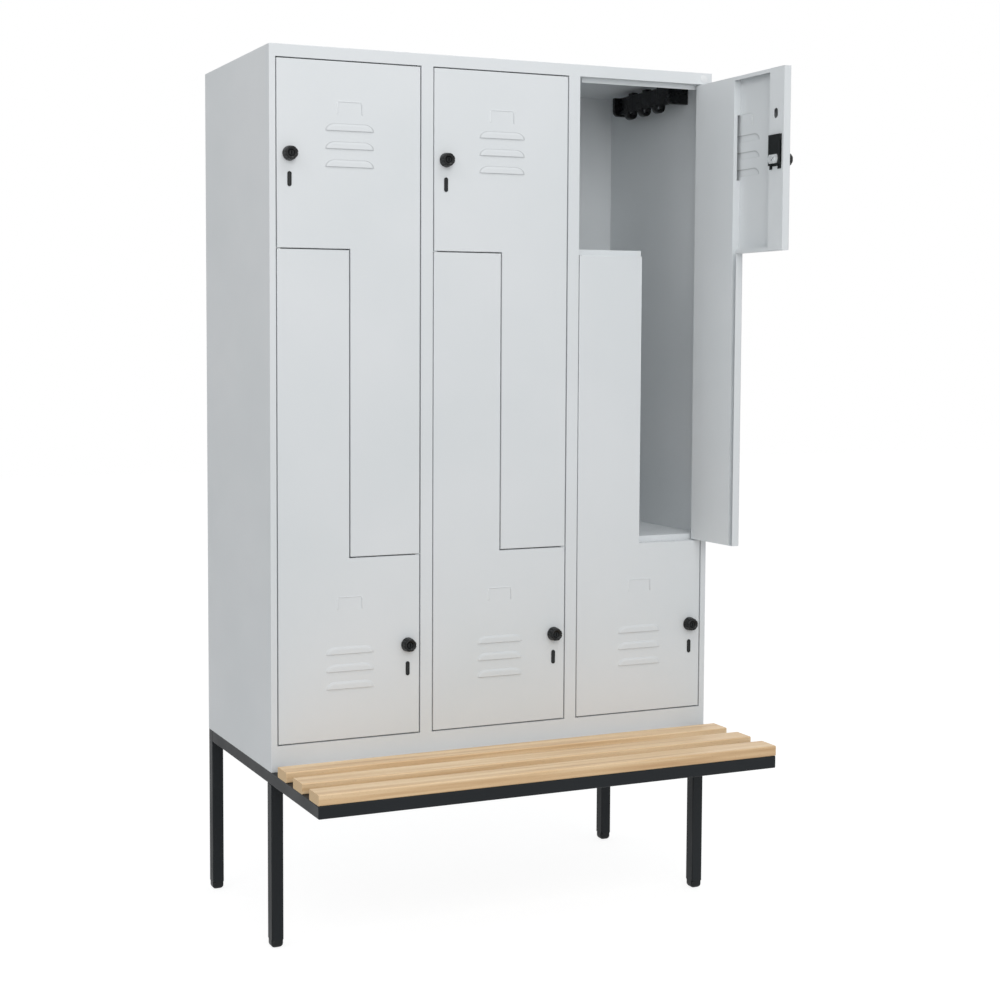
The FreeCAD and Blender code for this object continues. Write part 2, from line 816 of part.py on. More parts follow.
def louvre(plan, number, inset, sunk):
    """One pressed hood, or the hollow inside it: deep along its open lower edge, flush at its top."""
    half_low = d.louvre_width / 2 - inset
    half_high = d.louvre_top_width / 2 - inset
    deep = (-sunk, d.louvre_depth - inset)
    flush = (-sunk, -inset)
    up = (as_size(0), d.louvre_height)
    piece = wedge("louvre", up, (-half_low, half_low), deep, (-half_high, half_high), flush)
    turn(piece, FreeCAD.Vector(1, 0, 0), 90)
    middle_x = (d.pivot_inset - door_width / 2) * plan.hand
    place(piece, middle_x, skin_front, plan.louvre_z + d.louvre_pitch * number)
    return piece


def door_skin(plan):
    """The folded pan: front sheet, flanges, return lips, louvres and the two bars of the card holder."""
    depth = (skin_front, pan_rear)
    wide = block("pan_wide", across(plan, 0, door_width), depth, plan.wide)
    strip = block("pan_strip", across(plan, 0, strip_width), depth, (plan.low, plan.high))
    outline = fuse("pan_outline", [wide, strip])

    def front_edge(box):
        return box.YMax < skin_front.value + TOUCH

    pan = rounded("pan", outline, d.bend_radius, front_edge)
    inside = (skin_inside, pan_rear + d.overrun)
    wide_inside = (plan.wide[0] + d.sheet, plan.wide[1] - d.sheet)
    strip_inside = (plan.low + d.sheet, plan.high - d.sheet)
    hollows = [
        block("hollow_wide", across(plan, d.sheet, door_width - d.sheet), inside, wide_inside),
        block("hollow_strip", across(plan, d.sheet, strip_width - d.sheet), inside, strip_inside),
    ]
    shell = cut("pan_shell", pan, hollows)

    lip_x = across(plan, stiffener_width, door_width - d.sheet - d.channel_width)
    lip_y = (pan_rear - d.sheet, pan_rear)
    extras = [
        block("upper_lip", lip_x, lip_y, (plan.wide[1] - d.sheet - d.return_lip, plan.wide[1])),
        block("lower_lip", lip_x, lip_y, (plan.wide[0], plan.wide[0] + d.sheet + d.return_lip)),
    ]
    label_z = (plan.axis_z + d.label_rise, plan.axis_z + d.label_rise + d.label_height)
    label_y = (skin_front - d.label_depth, skin_inside)
    for edge in (door_width - d.label_width, door_width + d.label_width - d.label_bar * 2):
        extras.append(block("label_bar", across(plan, edge / 2, edge / 2 + d.label_bar), label_y, label_z))
    extras += [louvre(plan, number, as_size(0), d.sheet) for number in range(LOUVRES)]
    pressed = fuse("pan_pressed", [shell] + extras)

    through = (skin_front - d.overrun, skin_inside + d.overrun)
    holes = [louvre(plan, number, d.sheet, d.sheet + d.overrun) for number in range(LOUVRES)]
    spindle_hole = d.spindle_radius + d.spindle_play
    holes.append(rod_back("spindle_hole", spindle_hole, axis_x(plan), through, plan.axis_z))
    slot_width = d.insert_width + d.insert_clearance * 2
    slot_z = insert_span(plan, d.insert_clearance)
    holes.append(stadium("insert_hole", slot_width, axis_x(plan), through, slot_z))
    bore_z = (plan.low - d.overrun, plan.high + d.overrun)
    holes.append(rod_up("pivot_bore", pin_bore, as_size(0), as_size(0), bore_z))
    stand(plan, cut("door_skin", pressed, holes), "skin")


def door_stiffeners(plan):
    """The sheet that boxes in the hinge half, and the channel behind the free edge that holds the lock."""
    back = (pan_rear - d.sheet, pan_rear)
    wall = (skin_inside, pan_rear)
    height = (plan.low + d.sheet, plan.high - d.sheet)
    plate = block("box_plate", across(plan, d.sheet, stiffener_width), back, height)
    side = block("box_wall", across(plan, stiffener_width - d.sheet, stiffener_width), wall, height)
    slot_x = across(plan, stiffener_width - d.sheet * 2, stiffener_width + d.overrun)
    slot_y = (skin_inside - d.overrun, skin_inside + d.stiffener_slot_width)
    slot_z = about(plan.louvre_z + d.stiffener_slot_rise, d.stiffener_slot_length)
    box = cut("hinge_box", fuse("hinge_sheet", [plate, side]), [block("box_slot", slot_x, slot_y, slot_z)])

    near = door_width - d.sheet - d.channel_width
    wide_height = (plan.wide[0] + d.sheet, plan.wide[1] - d.sheet)
    plate = block("channel_plate", across(plan, near, door_width - d.sheet), back, wide_height)
    side = block("channel_wall", across(plan, near, near + d.sheet), wall, wide_height)
    window_far = door_width - d.case_edge_inset + d.window_clearance
    window_near = door_width - d.case_edge_inset - d.case_width - d.window_clearance
    case_low = plan.axis_z - d.case_below
    through = (pan_rear - d.sheet - d.overrun, pan_rear + d.overrun)
    window_low = case_low + d.case_foot - d.window_clearance
    window_z = (window_low, case_low + d.case_height + d.window_clearance)
    window = block("lock_window", across(plan, window_near, window_far), through, window_z)
    hole_z = about(plan.axis_z + d.channel_hole_rise, d.channel_hole_height)
    hole = stadium("channel_hole", d.channel_hole_width, axis_x(plan), through, hole_z)
    channel = cut("lock_channel", fuse("channel_sheet", [plate, side]), [window, hole])
    stand(plan, group("stiffeners", [box, channel]), "stiffeners")


def lock_case(plan):
    """A moulded case that hides the parked tongue, with the slot insert on a neck below it."""
    middle = axis_x(plan)
    far = door_width - d.case_edge_inset
    low = plan.axis_z - d.case_below
    case_x = across(plan, far - d.case_width, far)
    shoulder = low + d.case_foot
    body = block("case_body", case_x, (skin_inside, case_rear), (shoulder, low + d.case_height))
    foot = block("case_foot", case_x, (pan_rear, pan_rear + d.case_foot_depth), (low, shoulder))
    insert_z = insert_span(plan, as_size(0))
    neck_width = d.insert_width + d.insert_rim * 2
    neck_y = (skin_inside, skin_inside + d.insert_neck)
    neck = block("case_neck", about(middle, neck_width), neck_y, (insert_z[0] - d.insert_rim, shoulder))
    nose_y = (skin_front - d.insert_proud, skin_inside + d.insert_neck)
    nose = stadium("insert_nose", d.insert_width, middle, nose_y, insert_z)
    moulding = fuse("case_moulding", [body, foot, neck, nose])

    pocket_y = (tongue_front - d.lock_play, tongue_rear + d.lock_play)
    pocket_near = axis_from_hinge - d.hub_radius - d.lock_play
    # The tongue's outer corners swing a little beyond its length.
    sweep = d.tongue_length + d.tongue_width * d.tongue_width / (d.tongue_length * 8)
    pocket_z = (plan.axis_z - d.hub_radius - d.lock_play, plan.axis_z + sweep + d.lock_play)
    pocket = block("tongue_pocket", across(plan, pocket_near, far + d.overrun), pocket_y, pocket_z)
    bore_y = (skin_inside - d.overrun, tongue_front)
    bore = rod_back("spindle_bore", d.spindle_radius + d.pin_clearance, middle, bore_y, plan.axis_z)
    hub_y = (tongue_rear, case_rear + d.overrun)
    hub_hole = rod_back("hub_hole", d.hub_radius + d.lock_play, middle, hub_y, plan.axis_z)
    notch_z = (low - d.overrun, low + d.case_notch_height)
    notch_y = (pan_rear - d.overrun, case_rear)
    notch = block("case_notch", about(middle, d.case_notch_width), notch_y, notch_z)
    groove_z = (insert_z[0] + d.insert_rim, insert_z[1] - d.insert_rim)
    groove_y = (skin_front - d.insert_proud - d.overrun, skin_front)
    groove = stadium("insert_groove", d.insert_width - d.insert_rim * 2, middle, groove_y, groove_z)
    stand(plan, cut("lock_case", moulding, [pocket, bore, hub_hole, notch, groove]), "lock_case")


def lock_knob(plan):
    """A domed knob with a fluted rim and a keyway, on the spindle that reaches back to the cam."""
    middle = axis_x(plan)
    knob_front = knob_rear - d.knob_height
    disc = rod_back("knob_disc", d.knob_radius, middle, (knob_front, knob_rear), plan.axis_z)

    def front_rim(box):
        return box.YMax < knob_front.value + TOUCH

    dome = rounded("knob_dome", disc, d.knob_rounding, front_rim)
    cuts = []
    ring = d.knob_radius + d.flute_radius - d.flute_depth
    flute_y = (knob_front - d.overrun, knob_rear - d.flute_depth)
    for number in range(KNOB_FLUTES):
        angle = 2 * math.pi * number / KNOB_FLUTES
        flute_x = middle + ring * math.cos(angle)
        flute_z = plan.axis_z + ring * math.sin(angle)
        cuts.append(rod_back("flute", d.flute_radius, flute_x, flute_y, flute_z))
    keyway_y = (knob_front - d.overrun, knob_front + d.keyway_depth)
    keyway_x = about(middle, d.keyway_width)
    cuts.append(block("keyway", keyway_x, keyway_y, about(plan.axis_z, d.keyway_height)))
    knob = cut("knob_fluted", dome, cuts)
    spindle_y = (knob_rear - d.flute_depth, tongue_front)
    spindle = rod_back("spindle", d.spindle_radius, middle, spindle_y, plan.axis_z)
    stand(plan, fuse("lock_knob", [knob, spindle]), "lock_knob")


def lock_cam(plan):
    """The steel tongue, parked upright, with its hub and the flat-sided disc that shows behind the case."""
    middle = axis_x(plan)
    tongue_z = (plan.axis_z, plan.axis_z + d.tongue_length)
    tongue = block("tongue", about(middle, d.tongue_width), (tongue_front, tongue_rear), tongue_z)
    disc_y = (case_rear + d.lock_play, case_rear + d.lock_play + d.cam_thickness)
    hub = rod_back("hub", d.hub_radius, middle, (tongue_front, disc_y[1]), plan.axis_z)
    round_disc = rod_back("cam_round", d.cam_radius, middle, disc_y, plan.axis_z)
    flats = block("cam_flats", about(middle, d.cam_radius * 2), disc_y, about(plan.axis_z, d.cam_height))
    disc = doc.addObject("Part::Common", "cam_disc")
    disc.Base = round_disc
    disc.Tool = flats
    stand(plan, fuse("lock_cam", [tongue, hub, disc]), "lock_cam")


def door(tier, number):
    plan = door_plan(tier, number)
    door_skin(plan)
    door_stiffeners(plan)
    lock_case(plan)
    lock_knob(plan)
    lock_cam(plan)


side_panel("side_panel_left", -1)
side_panel("side_panel_right", 1)
top_panel()
top_rail()
bottom_rail()
middle_posts()
partition("partition_left", partition_places[0])
partition("partition_right", partition_places[-1])
floor_panel()
rear_panel()
for index, column_x in enumerate(columns, 1):
    z_divider(f"z_divider_{index}", column_x)
badge()
hook_strips()
pivot_pins()
pivot_lugs()
side_rail("base_side_rail_left", -1)
side_rail("base_side_rail_right", 1)
front_rail()
cross_rail("base_cross_rail_front", front_y)
cross_rail("base_cross_rail_rear", rear_y - d.tube)
legs()
feet()
slats()
slat_screws()
frame_bolts()
for index in range(COLUMNS):
    door("upper", index)
    door("lower", index)

doc.recompute()
for obj in doc.Objects:
    if "Invalid" in obj.State or "Error" in obj.State:
        raise RuntimeError(f"{obj.Label} failed: {obj.State}")
for piece in nodes:
    if piece.Shape.isNull() or not piece.Shape.isValid():
        raise RuntimeError(f"{piece.Label} has no valid shape")

os.makedirs("parts", exist_ok=True)
for piece in nodes:
    piece.Shape.exportStep(f"parts/{piece.Label}.step")
print(f"{len(nodes)} nodes, {sum(len(piece.Shape.Solids) for piece in nodes)} solids")
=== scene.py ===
# %% [markdown]
# # A steel locker with a slatted bench
# This lesson dresses a finished CAD model: a sheet-steel locker with Z-shaped doors, on a black tube base that
# also carries a beech bench. The CAD solids already say where every piece sits and how it moves. What is left is
# what the eye checks first: folded edges, pressed louvres, moulded knobs, wood grain and powder coat.
#
# The model arrives as a frame of fixed nodes. A node whose shape is already right only gets a finish. A node whose
# edges or curves need more care is replaced by a new piece of the same size in the same place.

# %% Load the frame
import json
import math

import bmesh
import bpy
from bmesh.types import BMFace, BMVert
from mathutils import Matrix, Vector


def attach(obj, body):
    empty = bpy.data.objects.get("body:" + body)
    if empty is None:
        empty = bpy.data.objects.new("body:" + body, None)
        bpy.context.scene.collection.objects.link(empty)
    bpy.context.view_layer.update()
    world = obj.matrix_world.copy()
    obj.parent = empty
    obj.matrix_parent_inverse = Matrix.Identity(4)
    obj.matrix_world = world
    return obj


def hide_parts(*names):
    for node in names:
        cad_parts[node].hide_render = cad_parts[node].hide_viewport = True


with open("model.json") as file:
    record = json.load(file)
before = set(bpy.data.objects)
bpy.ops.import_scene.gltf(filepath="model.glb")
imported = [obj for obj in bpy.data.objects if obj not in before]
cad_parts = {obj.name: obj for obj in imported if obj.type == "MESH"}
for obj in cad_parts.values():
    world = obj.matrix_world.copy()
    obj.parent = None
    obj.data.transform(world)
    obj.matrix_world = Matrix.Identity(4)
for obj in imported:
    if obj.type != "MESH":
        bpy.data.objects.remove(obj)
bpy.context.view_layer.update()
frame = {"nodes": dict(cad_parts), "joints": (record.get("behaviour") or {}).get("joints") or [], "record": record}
scene = bpy.context.scene

# %% [markdown]
# ## The camera
# The photograph looks at the locker from the left, a little above its middle, through a long lens, and its frame
# is cut off-centre from a wider view. A lens shift gives such a frame. A large shift would keep the uprights
# perfectly parallel, but it would also push the object out of the frame when the camera walks round it, so this
# camera takes a small shift and tilts down a few degrees for the rest.

# %% Set up the camera
camera_data = bpy.data.cameras.new("front_left_camera")
camera_data.sensor_width = 36.0
camera_data.lens = 60.959
camera_data.shift_x = 0.135
camera_data.shift_y = -0.050
camera = bpy.data.objects.new("front_left_camera", camera_data)
scene.collection.objects.link(camera)
camera.location = (-1.8892, -3.8009, 1.4419)
tilt_down, turn_right = 3.689, 22.296
camera.rotation_euler = (math.radians(90 - tilt_down), 0, -math.radians(turn_right))
scene.camera = camera
print("camera at", [round(value, 3) for value in camera.location], "lens", camera_data.lens)

# %% [markdown]
# ## Light and ground
# The object stands in an even white studio. Most of the light comes from all round, which is the world's colour,
# and one large soft lamp in front of the doors, above them and to their left, makes the front lighter than the side
# and reaches into the open compartment. A smaller one overhead lifts the bench and the compartment's floor, and
# another, high on the left, fades down the side. Their level is plain, so a colour renders about as it is written.
#
# The white behind the object shouldn't come from more light. So camera and reflection rays see a white world, while
# the light that falls on the object comes from a second, dimmer background in the same world.

# %% World and lamps
def new_node(nodes, kind, **values):
    """Add a node and set its input sockets by name."""
    node = nodes.new(kind)
    for socket, value in values.items():
        node.inputs[socket.replace("_", " ")].default_value = value
    return node


def seen_directly(nodes, links):
    """1 for rays that look at a surface straight, in a mirror or through glass, and 0 for rays that light it."""
    path = nodes.new("ShaderNodeLightPath")
    total = path.outputs["Is Camera Ray"]
    for kind in ("Is Glossy Ray", "Is Transmission Ray"):
        larger = nodes.new("ShaderNodeMath")
        larger.operation = "MAXIMUM"
        links.new(total, larger.inputs[0])
        links.new(path.outputs[kind], larger.inputs[1])
        total = larger.outputs[0]
    return total


scene.view_settings.view_transform = "Standard"
studio = bpy.data.worlds.new("white_studio")
scene.world = studio
studio.use_nodes = True
tree = studio.node_tree
tree.nodes.clear()
lighting = new_node(tree.nodes, "ShaderNodeBackground", Color=(0.97, 0.985, 1.0, 1.0), Strength=0.58)
backdrop = new_node(tree.nodes, "ShaderNodeBackground", Color=(1.0, 1.0, 1.0, 1.0), Strength=1.0)
chooser = tree.nodes.new("ShaderNodeMixShader")
world_output = tree.nodes.new("ShaderNodeOutputWorld")
tree.links.new(seen_directly(tree.nodes, tree.links), chooser.inputs[0])
tree.links.new(lighting.outputs[0], chooser.inputs[1])
tree.links.new(backdrop.outputs[0], chooser.inputs[2])
tree.links.new(chooser.outputs[0], world_output.inputs["Surface"])


def soft_lamp(name, place, aim, size, watts):
    lamp_data = bpy.data.lights.new(name, "AREA")
    lamp_data.shape = "SQUARE"
    lamp_data.size = size
    lamp_data.energy = watts
    lamp = bpy.data.objects.new(name, lamp_data)
    lamp.location = place
    lamp.rotation_euler = (Vector(aim) - Vector(place)).to_track_quat("-Z", "Y").to_euler()
    scene.collection.objects.link(lamp)


soft_lamp("front_softbox", (-0.9, -4.6, 3.0), aim=(0.0, 0.0, 1.3), size=3.0, watts=76.0)
soft_lamp("top_softbox", (0.25, -1.3, 4.4), aim=(0.25, -0.2, 0.7), size=1.4, watts=20.0)
soft_lamp("left_softbox", (-3.2, -1.0, 4.2), aim=(-0.6, 0.1, 1.8), size=2.0, watts=17.0)

# %% [markdown]
# The floor is a plain pale sheet. Seen directly, it adds a little of its own diffuse light to a white glow, so open
# floor reaches white, and the ground beside the feet keeps a faint shadow.

# %% Floor
ground = bpy.data.materials.new("pale_floor")
ground.use_nodes = True
tree = ground.node_tree
tree.nodes.clear()
plain = new_node(tree.nodes, "ShaderNodeBsdfDiffuse", Color=(0.62, 0.62, 0.62, 1.0))
shadow_part = new_node(tree.nodes, "ShaderNodeBsdfDiffuse", Color=(0.28, 0.28, 0.28, 1.0))
glow = new_node(tree.nodes, "ShaderNodeEmission", Color=(1.0, 1.0, 1.0, 1.0), Strength=0.85)
shown = tree.nodes.new("ShaderNodeAddShader")
chooser = tree.nodes.new("ShaderNodeMixShader")
floor_output = tree.nodes.new("ShaderNodeOutputMaterial")
tree.links.new(glow.outputs[0], shown.inputs[0])
tree.links.new(shadow_part.outputs[0], shown.inputs[1])
tree.links.new(seen_directly(tree.nodes, tree.links), chooser.inputs[0])
tree.links.new(plain.outputs[0], chooser.inputs[1])
tree.links.new(shown.outputs[0], chooser.inputs[2])
tree.links.new(chooser.outputs[0], floor_output.inputs["Surface"])

bm = bmesh.new()
bmesh.ops.create_grid(bm, x_segments=1, y_segments=1, size=14.0)
floor_mesh = bpy.data.meshes.new("studio_floor")
bm.to_mesh(floor_mesh)
bm.free()
floor_mesh.materials.append(ground)
studio_floor = bpy.data.objects.new("studio_floor", floor_mesh)
scene.collection.objects.link(studio_floor)
print("floor", [round(value, 1) for value in studio_floor.dimensions])

# %% [markdown]
# ## Finishes
# Each finish is a small node tree. The helpers below give object coordinates in metres, noise, a colour ramp, a
# spread of values and a bump, so that each finish reads as a short recipe. Object coordinates are used because every
# piece sits unturned at the origin, so one metre of pattern is one metre of object on every piece.

# %% Helpers for finishes
def screen_colour(red, green, blue):
    """An 8-bit screen colour as the linear colour that a shader takes."""
    return tuple(((part / 255 + 0.055) / 1.055) ** 2.4 for part in (red, green, blue)) + (1.0,)


class Finish:
    """A material with its node tree at hand."""

    def __init__(self, name):
        self.material = bpy.data.materials.new(name)
        self.material.use_nodes = True
        self.nodes = self.material.node_tree.nodes
        self.links = self.material.node_tree.links
        self.shader = self.nodes["Principled BSDF"]

    def points(self, stretch=(1.0, 1.0, 1.0)):
        """Object coordinates, with more pattern per metre along an axis with a larger stretch."""
        place = self.nodes.new("ShaderNodeTexCoord")
        mapping = new_node(self.nodes, "ShaderNodeMapping", Scale=stretch)
        self.links.new(place.outputs["Object"], mapping.inputs["Vector"])
        return mapping.outputs["Vector"]

    def noise(self, points, scale, detail=2.0, roughness=0.5):
        texture = new_node(self.nodes, "ShaderNodeTexNoise", Scale=scale, Detail=detail, Roughness=roughness)
        self.links.new(points, texture.inputs["Vector"])
        return texture.outputs[0]

    def ramp(self, amount, stops):
        node = self.nodes.new("ShaderNodeValToRGB")
        elements = node.color_ramp.elements
        while len(elements) < len(stops):
            elements.new(0.5)
        for element, (position, colour) in zip(elements, stops):
            element.position = position
            element.color = colour
        self.links.new(amount, node.inputs[0])
        return node.outputs["Color"]

    def spread(self, amount, low, high):
        """Noise lies mostly between 0.3 and 0.7, so this takes that part to low and high."""
        node = new_node(self.nodes, "ShaderNodeMapRange", From_Min=0.3, From_Max=0.7, To_Min=low, To_Max=high)
        self.links.new(amount, node.inputs["Value"])
        return node.outputs["Result"]

    def mix(self, amount, pattern, colour):
        """A colour laid over a pattern where the amount is 1."""
        node = self.nodes.new("ShaderNodeMix")
        node.data_type = "RGBA"
        self.links.new(amount, node.inputs[0])
        # The node has sockets for every type of data: inputs 6 and 7 are its colours, and output 2 is their mix.
        self.links.new(pattern, node.inputs[6])
        node.inputs[7].default_value = colour
        return node.outputs[2]

    def bump(self, height, depth, strength=1.0):
        """Relief of a depth in metres. A second call lays its relief over the first one."""
        node = new_node(self.nodes, "ShaderNodeBump", Strength=strength, Distance=depth)
        self.links.new(height, node.inputs["Height"])
        earlier = self.shader.inputs["Normal"].links
        if earlier:
            self.links.new(earlier[0].from_socket, node.inputs["Normal"])
        self.links.new(node.outputs["Normal"], self.shader.inputs["Normal"])

    def feed(self, socket, value):
        self.links.new(value, self.shader.inputs[socket])


print("a mid grey of 128 on screen is", round(screen_colour(128, 128, 128)[0], 3), "in a shader")

# %% [markdown]
# ### Powder coat
# Powder coat is plastic melted onto steel. It flows into a skin with very fine dimples, an even satin gloss and
# hardly any change of colour. A photograph of it could be tiled over the sheets, but the dimples are under a
# millimetre, so noise does the same at any distance: one slow noise drifts the colour by a few steps, one varies the
# gloss, and a fine one makes the dimples. Along a tight bend the coat's colour is darkened as painted shade, where
# shade would fall, so a piece may carry an attribute for this painted shade, from 0 to 1. A piece without it counts
# as 0 everywhere.

# %% Powder-coated steel
# How far the painted shade along a tight bend darkens the coat's colour.
CREASE_SHADE = 0.62


def powder_coat(name, darker, lighter, roughness, shine):
    finish = Finish(name)
    points = finish.points()
    finish.shader.inputs["Specular IOR Level"].default_value = shine
    tone = finish.ramp(finish.noise(points, 2.2, 3.0), [(0.35, darker), (0.65, lighter)])
    # Painted shade: an attribute darkens the colour along tight bends, where shade would fall.
    painted_crease_shade = finish.nodes.new("ShaderNodeAttribute")
    painted_crease_shade.attribute_name = "painted_crease_shade"
    painted_shade_colour = tuple(part * CREASE_SHADE for part in darker[:3]) + (1.0,)
    finish.feed("Base Color", finish.mix(painted_crease_shade.outputs["Fac"], tone, painted_shade_colour))
    finish.feed("Roughness", finish.spread(finish.noise(points, 9.0, 3.0), roughness - 0.05, roughness + 0.05))
    finish.bump(finish.noise(points, 620.0, 2.0), 0.00008, 0.35)
    finish.bump(finish.noise(points, 5.0, 1.0), 0.0012, 0.12)
    return finish.material


light_grey_coat = powder_coat("light_grey_coat", screen_colour(219, 223, 225), screen_colour(224, 227, 229),
                              roughness=0.46, shine=0.4)
black_coat = powder_coat("black_coat", screen_colour(25, 29, 32), screen_colour(30, 34, 37),
                         roughness=0.48, shine=0.2)
print("coats:", light_grey_coat.name, black_coat.name)

# %% [markdown]
# ### Beech
# The slats are lacquered beech. Its marks are a pale pinkish tan, long quiet bands along the board, and thousands of
# short dark flecks a few millimetres long, which are its rays cut lengthwise. All three are noise, stretched by
# different amounts along the board. The sawn ends show growth rings instead, so they get a finish of their own.

# %% Beech along and across the grain
def beech_face(name):
    finish = Finish(name)
    bands = finish.noise(finish.points((1.6, 60.0, 60.0)), 1.0, 5.0, 0.55)
    tan = finish.ramp(bands, [(0.30, screen_colour(201, 163, 119)), (0.48, screen_colour(225, 192, 148)),
                              (0.68, screen_colour(239, 212, 174))])
    flecks = finish.noise(finish.points((150.0, 1500.0, 1500.0)), 1.0, 1.0)
    marks = finish.ramp(flecks, [(0.64, (0.0, 0.0, 0.0, 1.0)), (0.74, (0.45, 0.45, 0.45, 1.0))])
    finish.feed("Base Color", finish.mix(marks, tan, screen_colour(168, 126, 88)))
    finish.feed("Roughness", finish.spread(bands, 0.40, 0.50))
    finish.bump(finish.noise(finish.points((6.0, 700.0, 700.0)), 1.0, 2.0), 0.0001, 0.25)
    finish.shader.inputs["Coat Weight"].default_value = 0.12
    finish.shader.inputs["Coat Roughness"].default_value = 0.3
    return finish.material


def beech_end(name):
    finish = Finish(name)
    rings = new_node(finish.nodes, "ShaderNodeTexWave", Scale=95.0, Distortion=3.0, Detail=2.0, Detail_Scale=1.2)
    rings.wave_type = "RINGS"
    rings.rings_direction = "X"
    centre = new_node(finish.nodes, "ShaderNodeMapping", Location=(0.0, 0.26, -0.36))
    place = finish.nodes.new("ShaderNodeTexCoord")
    finish.links.new(place.outputs["Object"], centre.inputs["Vector"])
    finish.links.new(centre.outputs["Vector"], rings.inputs["Vector"])
    tones = [(0.0, screen_colour(215, 182, 138)), (1.0, screen_colour(229, 199, 155))]
    finish.feed("Base Color", finish.ramp(rings.outputs["Fac"], tones))
    finish.feed("Roughness", finish.spread(finish.noise(finish.points(), 900.0), 0.55, 0.68))
    finish.bump(finish.noise(finish.points(), 1400.0, 2.0), 0.0002, 0.3)
    return finish.material


beech = beech_face("beech")
beech_sawn = beech_end("beech_sawn_end")
print("wood:", beech.name, beech_sawn.name)

# %% [markdown]
# ### Plastic and bright metal
# Knobs, lock cases, hooks and feet are moulded in black plastic with a fine spark-eroded grain. The cams, pins and
# screws are zinc-plated steel: metallic, a little blue, with the cloudy change of gloss that plating has.

# %% Plastics and zinc
def moulded_plastic(name, darker, lighter, roughness, shine=0.3):
    finish = Finish(name)
    points = finish.points()
    finish.shader.inputs["Specular IOR Level"].default_value = shine
    finish.feed("Base Color", finish.ramp(finish.noise(points, 40.0, 2.0), [(0.35, darker), (0.65, lighter)]))
    finish.feed("Roughness", finish.spread(finish.noise(points, 160.0, 2.0), roughness - 0.06, roughness + 0.06))
    finish.bump(finish.noise(points, 2200.0, 1.0), 0.00006, 0.4)
    return finish.material


def zinc_plate(name, darker, lighter):
    finish = Finish(name)
    points = finish.points()
    finish.shader.inputs["Metallic"].default_value = 0.6
    finish.feed("Base Color", finish.ramp(finish.noise(points, 120.0, 4.0), [(0.3, darker), (0.7, lighter)]))
    finish.feed("Roughness", finish.spread(finish.noise(points, 260.0, 3.0), 0.32, 0.46))
    finish.bump(finish.noise(finish.points((300.0, 300.0, 2600.0)), 1.0, 1.0), 0.00004, 0.3)
    return finish.material


black_plastic = moulded_plastic("black_plastic", screen_colour(19, 22, 23), screen_colour(25, 28, 29),
                                roughness=0.42, shine=0.24)
gloss_black = moulded_plastic("glossy_black_plastic", screen_colour(11, 13, 14), screen_colour(16, 18, 19),
                              roughness=0.30)
dark_plastic = moulded_plastic("dark_grey_plastic", screen_colour(27, 30, 31), screen_colour(33, 36, 37),
                               roughness=0.36)
# Near black and hardly shiny: painted shade for the floor of a keyway.
painted_hollow_shade = moulded_plastic("painted_hollow_shade", screen_colour(10, 11, 12), screen_colour(14, 15, 16),
                               roughness=0.7, shine=0.05)
pale_plastic = moulded_plastic("pale_plastic", screen_colour(222, 224, 225), screen_colour(228, 230, 231),
                               roughness=0.38)
zinc = zinc_plate("zinc_plate", screen_colour(228, 231, 233), screen_colour(242, 244, 245))
dark_steel = zinc_plate("dark_steel", screen_colour(84, 87, 90), screen_colour(104, 107, 110))
mouldings = (black_plastic, gloss_black, dark_plastic, painted_hollow_shade, pale_plastic)
print("mouldings and metal:", [finish.name for finish in (*mouldings, zinc, dark_steel)])

# %% [markdown]
# ## Finishing the CAD nodes
# The record lists a material slot for every node. A small table from slot to finish dresses all the nodes at once.
# The flat sheets of the body keep their CAD shape from here on, and the pieces that get more detail are replaced
# later in the lesson.

# %% Dress every node by its slot
finish_of_slot = {
    "light_grey_coat": light_grey_coat,
    "black_coat": black_coat,
    "beech": beech,
    "black_plastic": black_plastic,
    "badge_plastic": pale_plastic,
    "zinc": zinc,
    "bright_steel": dark_steel,
}
for subpart in frame["record"]["subparts"]:
    mesh = frame["nodes"][subpart["node"]].data
    mesh.materials.clear()
    mesh.materials.append(finish_of_slot[subpart["material_slot"]])

# %% [markdown]
# ## Making new pieces
# A new piece is drawn in millimetres, because that is how such things are measured, and scaled to metres when it is
# done. Flat faces stay flat-shaded and only rounded strips are smooth, so a broad sheet shows no smudges of
# shading near its edges.

# %% Helpers for pieces
MM = 0.001
MILLIMETRES = Matrix.Scale(MM, 4)
X_AXIS, Y_AXIS, Z_AXIS = range(3)
SQUARE = 0.999


def is_round(face):
    """A face that isn't square to the axes is part of a rounding."""
    return max(abs(part) for part in face.normal) < 0.9999


def only(kind, geometry):
    """The corners, or the faces, among what an operator gives back."""
    return [item for item in geometry if isinstance(item, kind)]


def make_piece(bm, name, body, finishes, stands_for=(), place=MILLIMETRES, smooth=is_round):
    """Turn a bmesh in millimetres into a piece that rides on a body, in place of some nodes."""
    bm.normal_update()
    for face in bm.faces:
        face.smooth = smooth(face)
    bm.transform(place)
    mesh = bpy.data.meshes.new(name)
    bm.to_mesh(mesh)
    bm.free()
    for finish in finishes:
        mesh.materials.append(finish)
    piece = bpy.data.objects.new(name, mesh)
    scene.collection.objects.link(piece)
    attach(piece, body)
    if stands_for:
        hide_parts(*stands_for)
    return piece


def block(bm, x, y, z):
    """Add a box between two places along each axis, and give its corners."""
    centre = Vector([(low + high) / 2 for low, high in (x, y, z)])
    size = Vector([high - low for low, high in (x, y, z)])
    matrix = Matrix.Translation(centre) @ Matrix.Diagonal(size).to_4x4()
    return bmesh.ops.create_cube(bm, size=1.0, matrix=matrix)["verts"]


def edges_along(verts, axis):
    """The edges between these corners that run along one axis."""
    corners = set(verts)
    found = {edge for vert in verts for edge in vert.link_edges if set(edge.verts) <= corners}
    return [e for e in found if abs((e.verts[0].co - e.verts[1].co).normalized()[axis]) > SQUARE]


